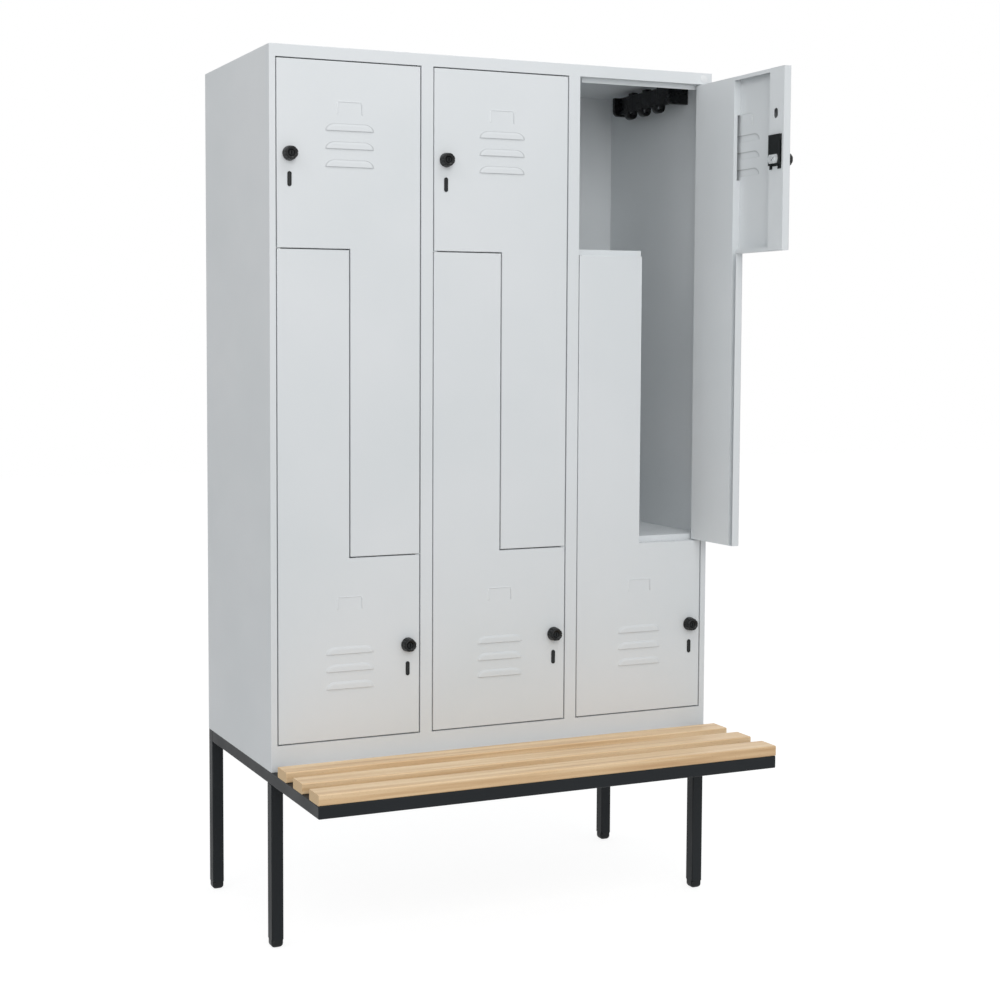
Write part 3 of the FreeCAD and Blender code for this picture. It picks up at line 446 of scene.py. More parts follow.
def round_edges(bm, edges, radius, segments=4):
    bmesh.ops.bevel(bm, geom=edges, offset=radius, segments=segments, profile=0.5, affect="EDGES",
                    clamp_overlap=True, material=-1)


def report(piece):
    size = [round(value / MM, 1) for value in piece.dimensions]
    print(piece.name, "faces", len(piece.data.polygons), "size in mm", size)


print("a millimetre is", MM, "m")

# %% [markdown]
# ## The tube base
# The base is square steel tube with rounded corners: a long U that carries the body behind and the bench in front,
# two cross rails under the body, and four legs. A swept curve could make the U, but its corners would be round and
# these are mitred. So the U starts as a flat plan, is pulled up to the tube's height, and has its long edges
# rounded, which leaves true mitres at the two front corners. Its rear ends stay square, welded to the rear legs.

# %% The U-shaped bench frame
TUBE, TUBE_ROUNDING, TUBE_CORNER_ANGLE = 30.0, 2.6, 1.5
HALF_WIDTH, FRONT, REAR = 600.0, -74.5, 425.5
BENCH_FRONT, BASE_TOP = -389.5, 425.0
BASE_LOW = BASE_TOP - TUBE

bm = bmesh.new()
bmesh.ops.create_grid(bm, x_segments=3, y_segments=2, size=1.0)
across = (-HALF_WIDTH, TUBE - HALF_WIDTH, HALF_WIDTH - TUBE, HALF_WIDTH)
along = (BENCH_FRONT, BENCH_FRONT + TUBE, REAR - TUBE)
for vert in bm.verts:
    column, row = round((vert.co.x + 1) * 1.5), round(vert.co.y + 1)
    vert.co = (across[column], along[row], BASE_LOW)
middle = [f for f in bm.faces if abs(f.calc_center_median().x) < 1 and f.calc_center_median().y > along[1]]
bmesh.ops.delete(bm, geom=middle, context="FACES")
raised = bmesh.ops.extrude_face_region(bm, geom=list(bm.faces))["geom"]
bmesh.ops.translate(bm, verts=only(BMVert, raised), vec=(0, 0, TUBE))
bmesh.ops.recalc_face_normals(bm, faces=bm.faces)
tube_ends = [f for f in bm.faces if f.normal.y > SQUARE and f.calc_center_median().y > along[2] - 1]
end_edges = {edge for face in tube_ends for edge in face.edges}
corner_edges = [e for e in bm.edges if e not in end_edges and e.calc_face_angle(0) > TUBE_CORNER_ANGLE]
round_edges(bm, corner_edges, TUBE_ROUNDING)
bench_frame = make_piece(bm, "bench_frame", "carcass", [black_coat],
                         ["base_side_rail_left", "base_side_rail_right", "base_front_rail"])
report(bench_frame)

# %% [markdown]
# The cross rails and legs are straight tubes. Each is a box with its four long edges rounded, and the ends stay
# square because they butt against another tube and are welded there. The front legs stop under the U, and the rear
# legs rise behind it to the top of the base.

# %% Cross rails and legs
def straight_tube(bm, x, y, z, axis):
    corners = block(bm, x, y, z)
    round_edges(bm, edges_along(corners, axis), TUBE_ROUNDING)


for name, low in (("base_cross_rail_front", FRONT), ("base_cross_rail_rear", REAR - TUBE)):
    bm = bmesh.new()
    straight_tube(bm, (TUBE - HALF_WIDTH, HALF_WIDTH - TUBE), (low, low + TUBE), (BASE_LOW, BASE_TOP), X_AXIS)
    report(make_piece(bm, name.replace("base_", "tube_"), "carcass", [black_coat], [name]))

FOOT_HEIGHT = 20.0
leg_corners = [(x, y) for x in (-HALF_WIDTH, HALF_WIDTH - TUBE) for y in (FRONT, REAR - TUBE)]
bm = bmesh.new()
for x, y in leg_corners:
    straight_tube(bm, (x, x + TUBE), (y, y + TUBE), (FOOT_HEIGHT, BASE_LOW if y < 0 else BASE_TOP), Z_AXIS)
report(make_piece(bm, "tube_legs", "carcass", [black_coat], ["legs"]))

# %% [markdown]
# Each leg ends in a moulded foot, level with the tube's sides and well rounded below, so that the locker can be
# pushed across a floor. A bevel round the underside would be held back by the short edges at the corners, so the
# underside is pulled down in steps instead and shrinks a little with each, along a quarter circle. The foot's plug
# inside the tube is left to the CAD model, because nobody sees it.

# %% Feet
FOOT_INSET, FOOT_CORNER, FOOT_ROUNDING, FOOT_STEPS = 0.2, 6.0, 10.0, 7
bm = bmesh.new()
for x, y in leg_corners:
    tread_x = (x + FOOT_INSET, x + TUBE - FOOT_INSET)
    tread_y = (y + FOOT_INSET, y + TUBE - FOOT_INSET)
    corners = block(bm, tread_x, tread_y, (FOOT_ROUNDING, FOOT_HEIGHT))
    round_edges(bm, edges_along(corners, Z_AXIS), FOOT_CORNER, 6)
    bm.normal_update()
    middle = Vector((x + TUBE / 2, y + TUBE / 2, FOOT_ROUNDING))
    tread = min(bm.faces, key=lambda face: (face.calc_center_median() - middle).length)
    half = TUBE / 2 - FOOT_INSET
    for step in range(FOOT_STEPS):
        angles = [math.pi / 2 * place / FOOT_STEPS for place in (step, step + 1)]
        reach = [half - FOOT_ROUNDING * (1 - math.cos(angle)) for angle in angles]
        drop = [FOOT_ROUNDING * math.sin(angle) for angle in angles]
        lower = bmesh.ops.extrude_face_region(bm, geom=[tread])["geom"]
        bmesh.ops.delete(bm, geom=[tread], context="FACES_ONLY")
        tread = only(BMFace, lower)[0]
        bmesh.ops.translate(bm, verts=tread.verts, vec=(0, 0, drop[0] - drop[1]))
        share = reach[1] / reach[0]
        bmesh.ops.scale(bm, verts=tread.verts, vec=(share, share, 1.0), space=Matrix.Translation(-middle))
bmesh.ops.recalc_face_normals(bm, faces=bm.faces)
report(make_piece(bm, "feet", "carcass", [black_plastic], ["foot_caps"]))

# %% [markdown]
# ## The bench slats
# Three beech boards lie across the side tubes. Their long edges are rounded over and their sawn ends are only broken
# with sandpaper. The two end faces get the end-grain finish, which needs a second material slot on the same mesh.

# %% Slats
SLAT_WIDTH, SLAT_THICKNESS, SLAT_GAP = 60.0, 25.0, 45.0
SLAT_ROUNDING, SLAT_END_ROUNDING, END_FACING = 3.0, 0.7, 0.9
for number in range(3):
    low = BENCH_FRONT + (SLAT_WIDTH + SLAT_GAP) * number
    bm = bmesh.new()
    corners = block(bm, (-HALF_WIDTH, HALF_WIDTH), (low, low + SLAT_WIDTH), (BASE_TOP, BASE_TOP + SLAT_THICKNESS))
    round_edges(bm, edges_along(corners, X_AXIS), SLAT_ROUNDING, 5)
    ends = [f for f in bm.faces if abs(f.normal.x) > END_FACING]
    round_edges(bm, list({edge for face in ends for edge in face.edges}), SLAT_END_ROUNDING, 2)
    for face in bm.faces:
        face.material_index = 1 if abs(face.normal.x) > END_FACING else 0
    report(make_piece(bm, f"beech_slat_{number + 1}", "carcass", [beech, beech_sawn],
                      [f"bench_slat_{number + 1}"]))

# %% [markdown]
# ## The doors
# A door is one sheet of steel. Its rim is folded back into a shallow pan, louvres and a card holder are pressed out
# of its face, and a strip along the wide part's top and bottom is folded in once more to stiffen it.
#
# The same order works in bmesh: lay out the flat Z shape, fold its rim with an edge extrusion, round the fold with a
# bevel, press the louvres, and give the sheet its thickness with a Solidify modifier at the very end. A boolean could
# cut the louvres too, but a louvre isn't a hole. It is a slit with the metal above it pushed out, and that is what is
# made here.

# %% Plan of the doors
DOOR_WIDTH, STRIP_WIDTH, DOOR_DEPTH = 363.0, 180.0, 20.0
SHEET, BEND = 1.0, 1.4
PIVOT_INSET, DOOR_FRONT, DOOR_REAR = 6.0, -6.0, 14.0
# Each tier also gives how strong the painted shade along its louvre bends is: strong above, faint below.
tiers = {
    "upper": {"hand": 1, "rows": (927.5, 1658.0, 2093.0), "cut_row": 0, "wide": (1658.0, 2093.0),
              "louvres": 1848.5, "painted_crease_shade": 0.9},
    "lower": {"hand": -1, "rows": (489.5, 924.5, 1655.0), "cut_row": 1, "wide": (489.5, 924.5),
              "louvres": 611.0, "painted_crease_shade": 0.2},
}
for tier in tiers.values():
    tier["axis_z"] = sum(tier["wide"]) / 2
pivots = {joint["child"]: Vector(joint["pos_m"]) for joint in frame["joints"] if joint["name"].endswith("_swing")}
doors = sorted(pivots)
shown_open = {"upper_door_3": 91.0}


def tier_of(door):
    return tiers[door.split("_")[0]]


def from_hinge(tier, distance):
    """A distance from the door's hinge edge as a place along x, measured from the pivot."""
    return (PIVOT_INSET - distance) * tier["hand"]


def door_place(door):
    """From millimetres about the pivot to metres in the room, with the door at the angle it is shown at."""
    pivot = pivots[door]
    turn = Matrix.Rotation(math.radians(shown_open.get(door, 0.0)), 4, "Z")
    return Matrix.Translation((pivot.x, pivot.y, 0.0)) @ turn @ MILLIMETRES


print("doors:", doors)

# %% [markdown]
# The flat shape is a grid of two by two cells with one corner cell left out. Its rim is extruded straight back, and
# the edge between face and rim is bevelled to the radius of a fold.

# %% Fold the pan
def folded_pan(tier):
    bm = bmesh.new()
    bmesh.ops.create_grid(bm, x_segments=2, y_segments=2, size=1.0)
    columns = (0.0, STRIP_WIDTH, DOOR_WIDTH)
    cells = {}
    for face in bm.faces:
        centre = face.calc_center_median()
        cells[round(centre.x + 0.5), round(centre.y + 0.5)] = face
    bmesh.ops.delete(bm, geom=[cells[1, tier["cut_row"]]], context="FACES")
    for vert in bm.verts:
        column, row = round(vert.co.x + 1), round(vert.co.y + 1)
        vert.co = (from_hinge(tier, columns[column]), DOOR_FRONT, tier["rows"][row])
    rim = [edge for edge in bm.edges if edge.is_boundary]
    folded = bmesh.ops.extrude_edge_only(bm, edges=rim)["geom"]
    bmesh.ops.translate(bm, verts=only(BMVert, folded), vec=(0, DOOR_DEPTH, 0))
    bmesh.ops.recalc_face_normals(bm, faces=bm.faces)
    if max(bm.faces, key=lambda face: face.calc_area()).normal.y > 0:
        bmesh.ops.reverse_faces(bm, faces=bm.faces)
    round_edges(bm, rim, BEND, 3)
    bm.normal_update()
    return bm


trial = folded_pan(tiers["upper"])
print("a folded pan has", len(trial.faces), "faces and", sum(e.is_boundary for e in trial.edges), "free edges")
trial.free()

# %% [markdown]
# Pressing works on a small window of the face. The window is sliced into a fine grid with cutting planes, one side of
# it is slit open, and its points move forwards by a depth that falls to nothing along the other three sides.

# %% Press a window of the sheet
def is_front(face):
    return face.normal.y < -SQUARE and abs(face.calc_center_median().y - DOOR_FRONT) < 0.001


def slice_faces(bm, faces, axis, places):
    normal = Vector([1.0 if index == axis else 0.0 for index in range(3)])
    for place in places:
        geometry = {item for face in faces() for item in (face, *face.edges, *face.verts)}
        bmesh.ops.bisect_plane(bm, geom=list(geometry), dist=0.0005, plane_co=normal * place, plane_no=normal)
        bm.normal_update()


def press(bm, x, z, cells, slit_axis, slit_place, depth):
    """Push out the window between two places along x and z. Returns the pressed faces."""
    x = sorted(x)

    def within(face, whole_width=False):
        centre = face.calc_center_median()
        return is_front(face) and z[0] < centre.z < z[1] and (whole_width or x[0] < centre.x < x[1])

    slice_faces(bm, lambda: [f for f in bm.faces if is_front(f)], Z_AXIS, z)
    slice_faces(bm, lambda: [f for f in bm.faces if within(f, whole_width=True)], X_AXIS, x)
    for axis, (low, high), count in ((X_AXIS, x, cells[0]), (Z_AXIS, z, cells[1])):
        places = [low + (high - low) * step / count for step in range(1, count)]
        slice_faces(bm, lambda: [f for f in bm.faces if within(f)], axis, places)
    pressed = [f for f in bm.faces if within(f)]
    inside = set(pressed)
    slit = [
        edge for edge in {e for f in pressed for e in f.edges}
        if all(abs(vert.co[slit_axis] - slit_place) < 0.001 for vert in edge.verts)
        and not set(edge.link_faces) <= inside
    ]
    bmesh.ops.split_edges(bm, edges=slit)
    for vert in {vert for face in pressed for vert in face.verts}:
        vert.co.y -= depth(vert.co.x, vert.co.z)
    bm.normal_update()
    return pressed


print("press() is ready")

# %% [markdown]
# A louvre's upper corners are round and its lower edge is open. The depth of a point comes from its distance to the
# rounded outline: quick to rise near the outline, flat near the lip. Along the outline the points also get the
# attribute that the coat reads as painted shade, a dark line where the bend would be shaded. The painted line is
# strong on the upper doors and faint on the lower ones, so each tier has its own strength. The card holder is two
# narrow clips, each slit on the side that faces the other, so a card slides in between, and a shallow stop above
# them.

# %% Louvres and card clips
LOUVRE_WIDTH, LOUVRE_HEIGHT, LOUVRE_PITCH, LOUVRE_DEPTH = 124.0, 18.0, 42.0, 1.9
LOUVRE_CORNER, LOUVRE_RISE, LOUVRE_CURVE, LOUVRE_CELLS = 26.0, 8.0, 2.5, (66, 14)
# Where the painted shade line lies inside a louvre's outline, and how wide it is.
CREASE_START, CREASE_PLACE, CREASE_WIDTH = 0.1, 1.4, 1.2
CARD_WIDTH, CARD_HEIGHT, CARD_RISE = 68.0, 30.0, 94.0
CLIP_WIDTH, CLIP_DEPTH, CLIP_TAPER, CLIP_CELLS = 4.0, 1.4, 3.0, (4, 20)
STOP_HEIGHT, STOP_FLAT, STOP_DEPTH, STOP_TAPER, STOP_CELLS = 3.0, 2.0, 0.7, 4.0, (30, 3)


def along_run(distance, run):
    """How far a distance goes along a run, from 0 before it to 1 past it."""
    return min(max(distance / run, 0.0), 1.0)


def press_louvres(bm, tier):
    middle = from_hinge(tier, DOOR_WIDTH / 2)
    # Painted shade along each louvre's outline, which the coat turns into darker colour.
    painted_crease_shade = bm.verts.layers.float.new("painted_crease_shade")
    pressed = []
    for number in range(3):
        low = tier["louvres"] + LOUVRE_PITCH * number

        def from_outline(x, z):
            beyond = max(abs(x - middle) - (LOUVRE_WIDTH / 2 - LOUVRE_CORNER), 0.0)
            return LOUVRE_HEIGHT - math.hypot(beyond * LOUVRE_HEIGHT / LOUVRE_CORNER, z - low)

        def depth(x, z):
            inwards = along_run(from_outline(x, z), LOUVRE_RISE)
            return LOUVRE_DEPTH * (1.0 - (1.0 - inwards) ** LOUVRE_CURVE)

        window = (middle - LOUVRE_WIDTH / 2, middle + LOUVRE_WIDTH / 2)
        hood = press(bm, window, (low, low + LOUVRE_HEIGHT), LOUVRE_CELLS, Z_AXIS, low, depth)
        for vert in {vert for face in hood for vert in face.verts}:
            inwards = from_outline(vert.co.x, vert.co.z)
            line = math.exp(-((inwards - CREASE_PLACE) / CREASE_WIDTH) ** 2)
            vert[painted_crease_shade] = tier["painted_crease_shade"] * line if inwards > CREASE_START else 0.0
        pressed += hood
    return pressed


def press_card_clips(bm, tier):
    middle = from_hinge(tier, DOOR_WIDTH / 2)
    z = (tier["axis_z"] + CARD_RISE, tier["axis_z"] + CARD_RISE + CARD_HEIGHT)
    pressed = []
    for side in (-1, 1):
        outer = middle + side * CARD_WIDTH / 2
        inner = outer - side * CLIP_WIDTH

        def depth(x, height):
            inwards = abs(x - outer) / CLIP_WIDTH
            from_end = min(height - z[0], z[1] - height)
            return CLIP_DEPTH * (1.0 - (1.0 - inwards) ** 2) * along_run(from_end, CLIP_TAPER)

        pressed += press(bm, (outer, inner), z, CLIP_CELLS, X_AXIS, inner, depth)

    half = CARD_WIDTH / 2 - CLIP_WIDTH

    def stop_depth(x, height):
        return STOP_DEPTH * (height < z[1] + STOP_FLAT) * along_run(half - abs(x - middle), STOP_TAPER)

    stop = (middle - half, middle + half)
    pressed += press(bm, stop, (z[1], z[1] + STOP_HEIGHT), STOP_CELLS, Z_AXIS, z[1], stop_depth)
    return pressed


print("louvre", LOUVRE_WIDTH, "by", LOUVRE_HEIGHT, "mm, card holder", CARD_WIDTH, "by", CARD_HEIGHT, "mm")

# %% [markdown]
# The lips are folded last. The rear edge of the wide part's top and bottom rim is cut to length and extruded towards
# the middle of the door. The Solidify modifier then gives the sheet its one millimetre, inwards from the outer face.

# %% Fold the lips and finish six doors
LIP, LIP_FROM, LIP_TO = 9.0, 164.0, 307.0
TOUCHING = 0.01


def fold_lips(bm, tier):
    ends = [from_hinge(tier, LIP_FROM), from_hinge(tier, LIP_TO)]
    for height, inwards in ((tier["wide"][1], -1), (tier["wide"][0], 1)):
        def on_rim(face):
            return abs(face.normal.z) > SQUARE and abs(face.calc_center_median().z - height) < TOUCHING

        def on_rear_edge(vert):
            return abs(vert.co.z - height) < TOUCHING and abs(vert.co.y - DOOR_REAR) < TOUCHING

        slice_faces(bm, lambda: [f for f in bm.faces if on_rim(f)], X_AXIS, ends)
        rear = [
            e for e in bm.edges
            if e.is_boundary and all(on_rear_edge(vert) for vert in e.verts)
            and min(ends) < (e.verts[0].co.x + e.verts[1].co.x) / 2 < max(ends)
        ]
        lip = bmesh.ops.extrude_edge_only(bm, edges=rear)["geom"]
        bmesh.ops.translate(bm, verts=only(BMVert, lip), vec=(0, 0, LIP * inwards))


def door_sheet(door):
    tier = tier_of(door)
    bm = folded_pan(tier)
    pressed = set(press_card_clips(bm, tier) + press_louvres(bm, tier))
    fold_lips(bm, tier)
    piece = make_piece(bm, f"{door}_sheet", door, [light_grey_coat], [f"{door}_skin"],
                       door_place(door), lambda face: is_round(face) or face in pressed)
    thickness = piece.modifiers.new("sheet", "SOLIDIFY")
    thickness.thickness = SHEET * MM
    thickness.offset = -1.0
    thickness.use_even_offset = True
    thickness.use_quality_normals = True
    return piece


for door in doors:
    report(door_sheet(door))

# %% [markdown]
# ## The locks
# Each door has a round knob that turns a steel cam behind the sheet. The knob, its key barrel and the cam's screw
# share one axis, so its place is worked out once. A round piece could be stacked from cylinders, but its soft
# shoulders come easier from a lathe: half of its outline is spun once round the axis, and the seam is merged.

# %% Lock axis and lathe
KNOB_EDGE_INSET = 31.0


def lock_of(door):
    return door.replace("door", "lock")


def lock_axis(door, depth):
    """The place on the knob's axis at a depth, about the door's pivot."""
    tier = tier_of(door)
    return Vector((from_hinge(tier, DOOR_WIDTH - KNOB_EDGE_INSET), depth, tier["axis_z"]))


def turned(axis, outline, steps):
    """Spin half an outline, given as radius and depth, once round an axis that runs front to back."""
    bm = bmesh.new()
    points = [bm.verts.new(axis + Vector((radius, y, 0.0))) for radius, y in outline]
    edges = [bm.edges.new(pair) for pair in zip(points, points[1:])]
    bmesh.ops.spin(bm, geom=points + edges, cent=axis, axis=(0, 1, 0), angle=math.tau, steps=steps, use_merge=True)
    bmesh.ops.remove_doubles(bm, verts=bm.verts, dist=0.001)
    bmesh.ops.recalc_face_normals(bm, faces=bm.faces)
    return bm


print("locks:", [lock_of(door) for door in doors])

# %% [markdown]
# The knob's front is dished, so that a lamp from the left darkens one half of the dish and lights the other. Its rim
# gets eight shallow finger grips by moving points towards the axis, less and less towards the middle of the knob and
# towards the door.

# %% Knobs
KNOB_STEPS = 96
GRIPS, GRIP_DEPTH, GRIP_NARROWNESS = 8, 1.3, 3
GRIP_RADIUS, GRIP_RADIUS_RUN, GRIP_REAR, GRIP_REAR_RUN = 11.5, 4.5, -7.0, 3.0
KNOB_OUTLINE = ((0.0, -20.4), (6.2, -20.4), (6.4, -23.2), (8.6, -25.0), (10.6, -26.6), (11.6, -27.3), (12.8, -27.6),
                (14.1, -27.2), (15.1, -25.8), (15.8, -22.8), (16.5, -18.6), (17.1, -14.0), (17.4, -9.0), (17.5, -7.6),
                (17.2, -6.8), (16.4, -6.4), (0.0, -6.4))


def lock_knob(door):
    axis = lock_axis(door, 0.0)
    bm = turned(axis, KNOB_OUTLINE, KNOB_STEPS)
    for vert in bm.verts:
        arm = Vector((vert.co.x - axis.x, 0.0, vert.co.z - axis.z))
        share = along_run(arm.length - GRIP_RADIUS, GRIP_RADIUS_RUN) * along_run(GRIP_REAR - vert.co.y, GRIP_REAR_RUN)
        turn = math.atan2(arm.z, arm.x) * GRIPS
        grip = max(math.cos(turn), 0.0) ** GRIP_NARROWNESS
        vert.co -= arm.normalized() * (GRIP_DEPTH * share * grip)
    piece = make_piece(bm, f"{lock_of(door)}_grip", lock_of(door), [gloss_black],
                       [f"{door}_lock_knob"], door_place(door), lambda face: True)
    piece.data.set_sharp_from_angle(angle=math.radians(50))
    return piece


for door in doors:
    report(lock_knob(door))

# %% [markdown]
# In the middle of the knob sits the round face of the key barrel with its upright keyway. It is a disc sliced twice
# each way, and the middle cell is pushed in to make the keyway. Below the knob, a slot-shaped insert shows through
# the sheet. Its outline is a circle pulled apart at its waist, raised a little and hollowed along its middle.

# %% Keyways and slot inserts
BARREL_FRONT, BARREL_RADIUS = -22.65, 6.1
KEYWAY_WIDTH, KEYWAY_HEIGHT, KEYWAY_DEPTH = 2.4, 9.0, 1.8
INSERT_DROP, INSERT_WIDTH, INSERT_HEIGHT, INSERT_RISE, INSERT_SIDES = 58.6, 10.2, 34.6, 1.2, 32
INSERT_BEVEL, INSERT_RIM, INSERT_HOLLOW = (0.5, 0.25), (1.3, 0.0), (0.6, -1.0)


def key_barrel(door):
    x, y, z = lock_axis(door, BARREL_FRONT)
    bm = bmesh.new()
    face_on = Matrix.Translation((x, y, z)) @ Matrix.Rotation(math.pi / 2, 4, "X")
    bmesh.ops.create_circle(bm, cap_ends=True, radius=BARREL_RADIUS, segments=40, matrix=face_on)
    slot_x = (x - KEYWAY_WIDTH / 2, x + KEYWAY_WIDTH / 2)
    slot_z = (z - KEYWAY_HEIGHT / 2, z + KEYWAY_HEIGHT / 2)
    slice_faces(bm, lambda: list(bm.faces), X_AXIS, slot_x)
    slice_faces(bm, lambda: list(bm.faces), Z_AXIS, slot_z)
    keyway = [f for f in bm.faces if slot_x[0] < f.calc_center_median().x < slot_x[1]
              and slot_z[0] < f.calc_center_median().z < slot_z[1]]
    floor = bmesh.ops.extrude_discrete_faces(bm, faces=keyway)["faces"]
    bmesh.ops.translate(bm, verts=list({v for f in floor for v in f.verts}), vec=(0, KEYWAY_DEPTH, 0))
    # The keyway's floor gets the near-black finish, as painted shade in the slot.
    for face in bm.faces:
        face.material_index = 1 if face in floor else 0
    return make_piece(bm, f"{lock_of(door)}_barrel", lock_of(door), [black_plastic, painted_hollow_shade],
                      (), door_place(door))


def slot_insert(door):
    centre = lock_axis(door, DOOR_FRONT) - Vector((0.0, 0.0, INSERT_DROP))
    bm = bmesh.new()
    half_step = Matrix.Rotation(math.pi / INSERT_SIDES, 4, "Y") @ Matrix.Rotation(math.pi / 2, 4, "X")
    bmesh.ops.create_circle(bm, cap_ends=True, radius=INSERT_WIDTH / 2, segments=INSERT_SIDES, matrix=half_step)
    for vert in bm.verts:
        vert.co.z += math.copysign((INSERT_HEIGHT - INSERT_WIDTH) / 2, vert.co.z)
        vert.co += centre
    bmesh.ops.recalc_face_normals(bm, faces=bm.faces)
    raised = bmesh.ops.extrude_face_region(bm, geom=list(bm.faces))["geom"]
    bmesh.ops.translate(bm, verts=only(BMVert, raised), vec=(0, -INSERT_RISE, 0))
    bmesh.ops.recalc_face_normals(bm, faces=bm.faces)
    front = [f for f in bm.faces if f.normal.y < -SQUARE]
    for inset, rise in (INSERT_BEVEL, INSERT_RIM, INSERT_HOLLOW):
        bmesh.ops.inset_region(bm, faces=front, thickness=inset, depth=rise, use_even_offset=True)
    for face in bm.faces:
        face.material_index = 1 if face in front else 0
    return make_piece(bm, f"{door}_slot_insert", door, [black_plastic, dark_plastic], (),
                      door_place(door))


for door in doors:
    report(key_barrel(door))
    report(slot_insert(door))

# %% [markdown]
# Behind the sheet, a slotted screw holds the cam on the knob's spindle, and shows when the door is open. Its head is
# a flat round pad with a groove across it. The groove is sliced straight, which is easy along an axis, and the whole
# head is turned afterwards so that it lies at a slant.

# %% Cam screws
CAM_REAR, SCREW_RADIUS, SCREW_HEIGHT, SCREW_SLANT = 22.3, 7.5, 0.9, 40.0
GROOVE, GROOVE_DEPTH = 2.2, 0.72


def cam_screw(door):
    bm = bmesh.new()
    face_back = Matrix.Translation((0, SCREW_HEIGHT, 0)) @ Matrix.Rotation(-math.pi / 2, 4, "X")
    bmesh.ops.create_circle(bm, cap_ends=True, radius=SCREW_RADIUS, segments=40, matrix=face_back)
    rim = [e for e in bm.edges if e.is_boundary]
    wall = bmesh.ops.extrude_edge_only(bm, edges=rim)["geom"]
    bmesh.ops.translate(bm, verts=only(BMVert, wall), vec=(0, -SCREW_HEIGHT, 0))
    bmesh.ops.recalc_face_normals(bm, faces=bm.faces)
    slice_faces(bm, lambda: [f for f in bm.faces if abs(f.normal.y) > SQUARE], Z_AXIS, (-GROOVE / 2, GROOVE / 2))
    groove = [f for f in bm.faces if abs(f.normal.y) > SQUARE and abs(f.calc_center_median().z) < GROOVE / 2]
    floor = bmesh.ops.extrude_discrete_faces(bm, faces=groove)["faces"]
    bmesh.ops.translate(bm, verts=list({v for f in floor for v in f.verts}), vec=(0, -GROOVE_DEPTH, 0))
    slant = Matrix.Rotation(math.radians(SCREW_SLANT), 3, "Y")
    bmesh.ops.rotate(bm, verts=bm.verts, cent=(0, 0, 0), matrix=slant)
    bmesh.ops.translate(bm, verts=bm.verts, vec=lock_axis(door, CAM_REAR))
    for face in bm.faces:
        face.material_index = 1 if face in floor else 0
    return make_piece(bm, f"{lock_of(door)}_screw", lock_of(door), [zinc, dark_steel], (), door_place(door))


for door in doors:
    report(cam_screw(door))

# %% [markdown]
# ## The hook strips
# Under the roof of every compartment hangs a moulded bar with three coat hooks. The bar and its end blocks are boxes
# with soft edges. A hook is one small rectangle pulled along a path: straight down, half round with a spin, and up
# again to the tip. A boss on the bar thickens the root of each hook.

# %% Hook strips
STRIP_DEPTH, STRIP_LENGTH = 60.0, 284.0
BLOCK_HEIGHT, BLOCK_THICKNESS, BLOCK_ROUNDING = 50.0, 12.0, 14.0
BAR_BACK, BAR_WIDTH, BAR_HEIGHT, BAR_ROUNDING = 30.0, 16.0, 46.0, 2.5
HOOK_WIDTH, HOOK_THICKNESS, HOOK_DROP, HOOK_TIP, HOOK_SPACING, HOOK_ROOT = 20.0, 7.0, 20.0, 21.0, 70.0, 2.0
BOSS_MARGIN, BOSS_FOOT, BOSS_RISE = 0.4, 4.0, 6.0
STRIP_EDGE, STRIP_EDGE_ANGLE = 0.9, 1.3
COLUMN_PITCH, STRIP_MIDDLE = 400.0, (FRONT + REAR) / 2


def coat_hook(bm, wall, side, middle, bar_low):
    near, far = wall - side * BAR_BACK, wall - side * (BAR_BACK + HOOK_THICKNESS)
    y = (middle - HOOK_WIDTH / 2, middle + HOOK_WIDTH / 2)
    turn_radius = (STRIP_DEPTH - BAR_BACK) / 2
    turn_z = bar_low - HOOK_DROP + turn_radius
    root_z = bar_low + HOOK_ROOT
    corners = [bm.verts.new((x, depth, root_z)) for x, depth in
               ((near, y[0]), (far, y[0]), (far, y[1]), (near, y[1]))]
    start = bm.faces.new(corners)
    down = bmesh.ops.extrude_face_region(bm, geom=[start])["geom"]
    end = only(BMFace, down)[0]
    bmesh.ops.translate(bm, verts=end.verts, vec=(0, 0, turn_z - root_z))
    centre = (wall - side * (BAR_BACK + turn_radius), middle, turn_z)
    bent = bmesh.ops.spin(bm, geom=[end, *end.edges, *end.verts], cent=centre, axis=(0, 1, 0),
                          angle=math.pi * side, steps=10)
    end = only(BMFace, bent["geom_last"])
    up = bmesh.ops.extrude_face_region(bm, geom=end)["geom"]
    bmesh.ops.translate(bm, verts=only(BMVert, up), vec=(0, 0, HOOK_TIP - turn_radius))
    bmesh.ops.delete(bm, geom=[face for face in end if face.is_valid], context="FACES_ONLY")


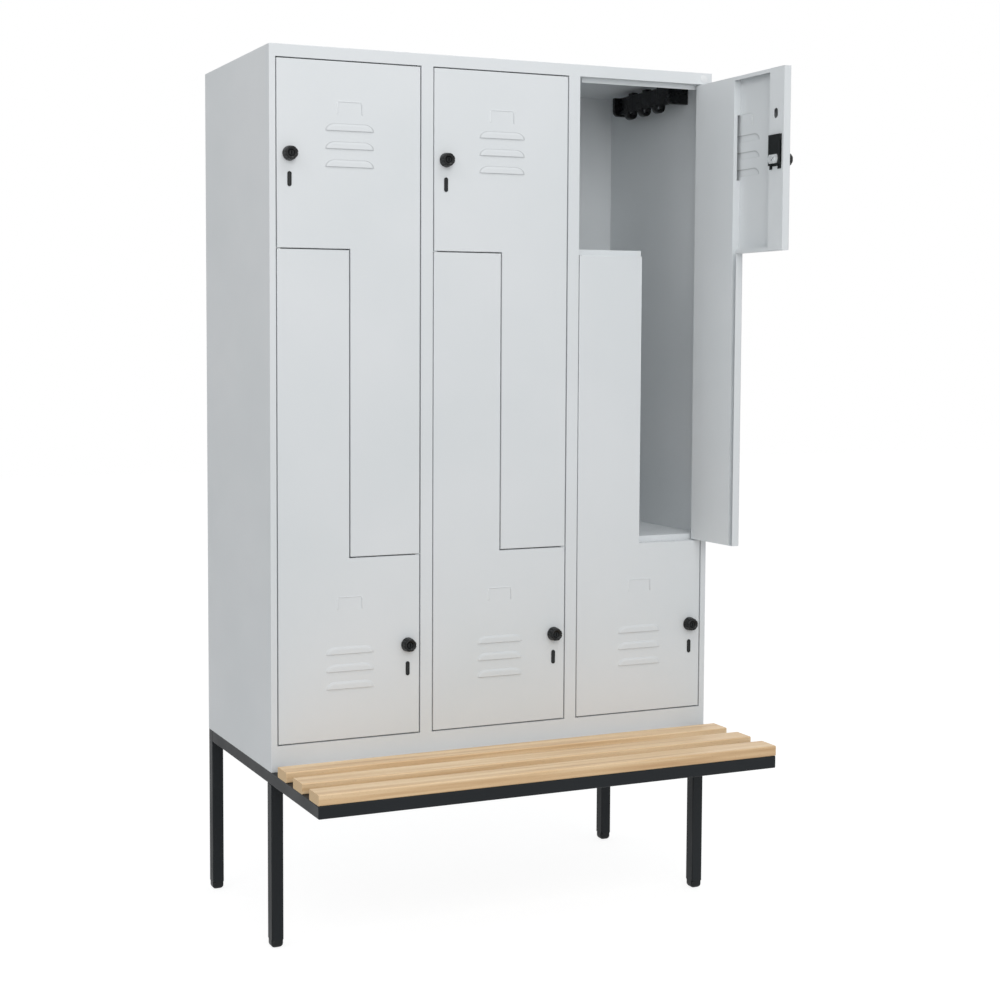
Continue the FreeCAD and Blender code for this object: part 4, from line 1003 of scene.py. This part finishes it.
def hook_strip(bm, column, side, top):
    wall = column + side * (COLUMN_PITCH / 2 - SHEET)
    free = wall - side * STRIP_DEPTH
    ends = (STRIP_MIDDLE - STRIP_LENGTH / 2, STRIP_MIDDLE + STRIP_LENGTH / 2)
    for y in ((ends[0], ends[0] + BLOCK_THICKNESS), (ends[1] - BLOCK_THICKNESS, ends[1])):
        corners = block(bm, sorted((wall, free)), y, (top - BLOCK_HEIGHT, top))
        heel = [e for e in edges_along(corners, Y_AXIS)
                if abs(e.verts[0].co.x - free) < TOUCHING and e.verts[0].co.z < top - 1]
        round_edges(bm, heel, BLOCK_ROUNDING, 8)
    bar_low = top - BAR_HEIGHT
    bar_x = sorted((wall - side * BAR_BACK, wall - side * (BAR_BACK + BAR_WIDTH)))
    bar = block(bm, bar_x, (ends[0] + BLOCK_THICKNESS, ends[1] - BLOCK_THICKNESS), (bar_low, top))
    round_edges(bm, edges_along(bar, Y_AXIS), BAR_ROUNDING, 3)
    boss_x = (bar_x[0] - BOSS_MARGIN, bar_x[1] + BOSS_MARGIN)
    for step in (-1, 0, 1):
        middle = STRIP_MIDDLE + HOOK_SPACING * step
        coat_hook(bm, wall, side, middle, bar_low)
        boss_y = (middle - HOOK_WIDTH / 2, middle + HOOK_WIDTH / 2)
        block(bm, boss_x, boss_y, (bar_low + BOSS_FOOT, top + BOSS_RISE))


for node, side, top in (("hook_strips_upper", 1, 2110.0), ("hook_strips_lower", -1, 1655.5)):
    bm = bmesh.new()
    for column in (-COLUMN_PITCH, 0.0, COLUMN_PITCH):
        hook_strip(bm, column, side, top)
    bmesh.ops.recalc_face_normals(bm, faces=bm.faces)
    sharp = [e for e in bm.edges if e.is_manifold and e.calc_face_angle(0) > STRIP_EDGE_ANGLE]
    round_edges(bm, sharp, STRIP_EDGE, 2)
    report(make_piece(bm, node.replace("strips", "bars"), "carcass", [gloss_black], [node]))

# %% [markdown]
# ## The badge
# A small plain disc sits at the right end of the upper rail. Spun like the knobs, it gets a thin raised rim and a
# slightly domed middle.

# %% Badge
BADGE_X, BADGE_Z, BADGE_STEPS = 576.0, 2110.5, 48
BADGE_OUTLINE = ((0.0, -0.85), (7.6, -0.75), (8.0, -0.55), (8.6, -0.95), (9.5, -1.0), (10.0, -0.7), (10.0, 0.0))
bm = turned(Vector((BADGE_X, FRONT, BADGE_Z)), BADGE_OUTLINE, BADGE_STEPS)
if sum(face.normal.y * face.calc_area() for face in bm.faces) > 0:
    bmesh.ops.reverse_faces(bm, faces=bm.faces)
report(make_piece(bm, "plain_badge", "carcass", [pale_plastic], ["blank_badge"],
                  smooth=lambda face: True))
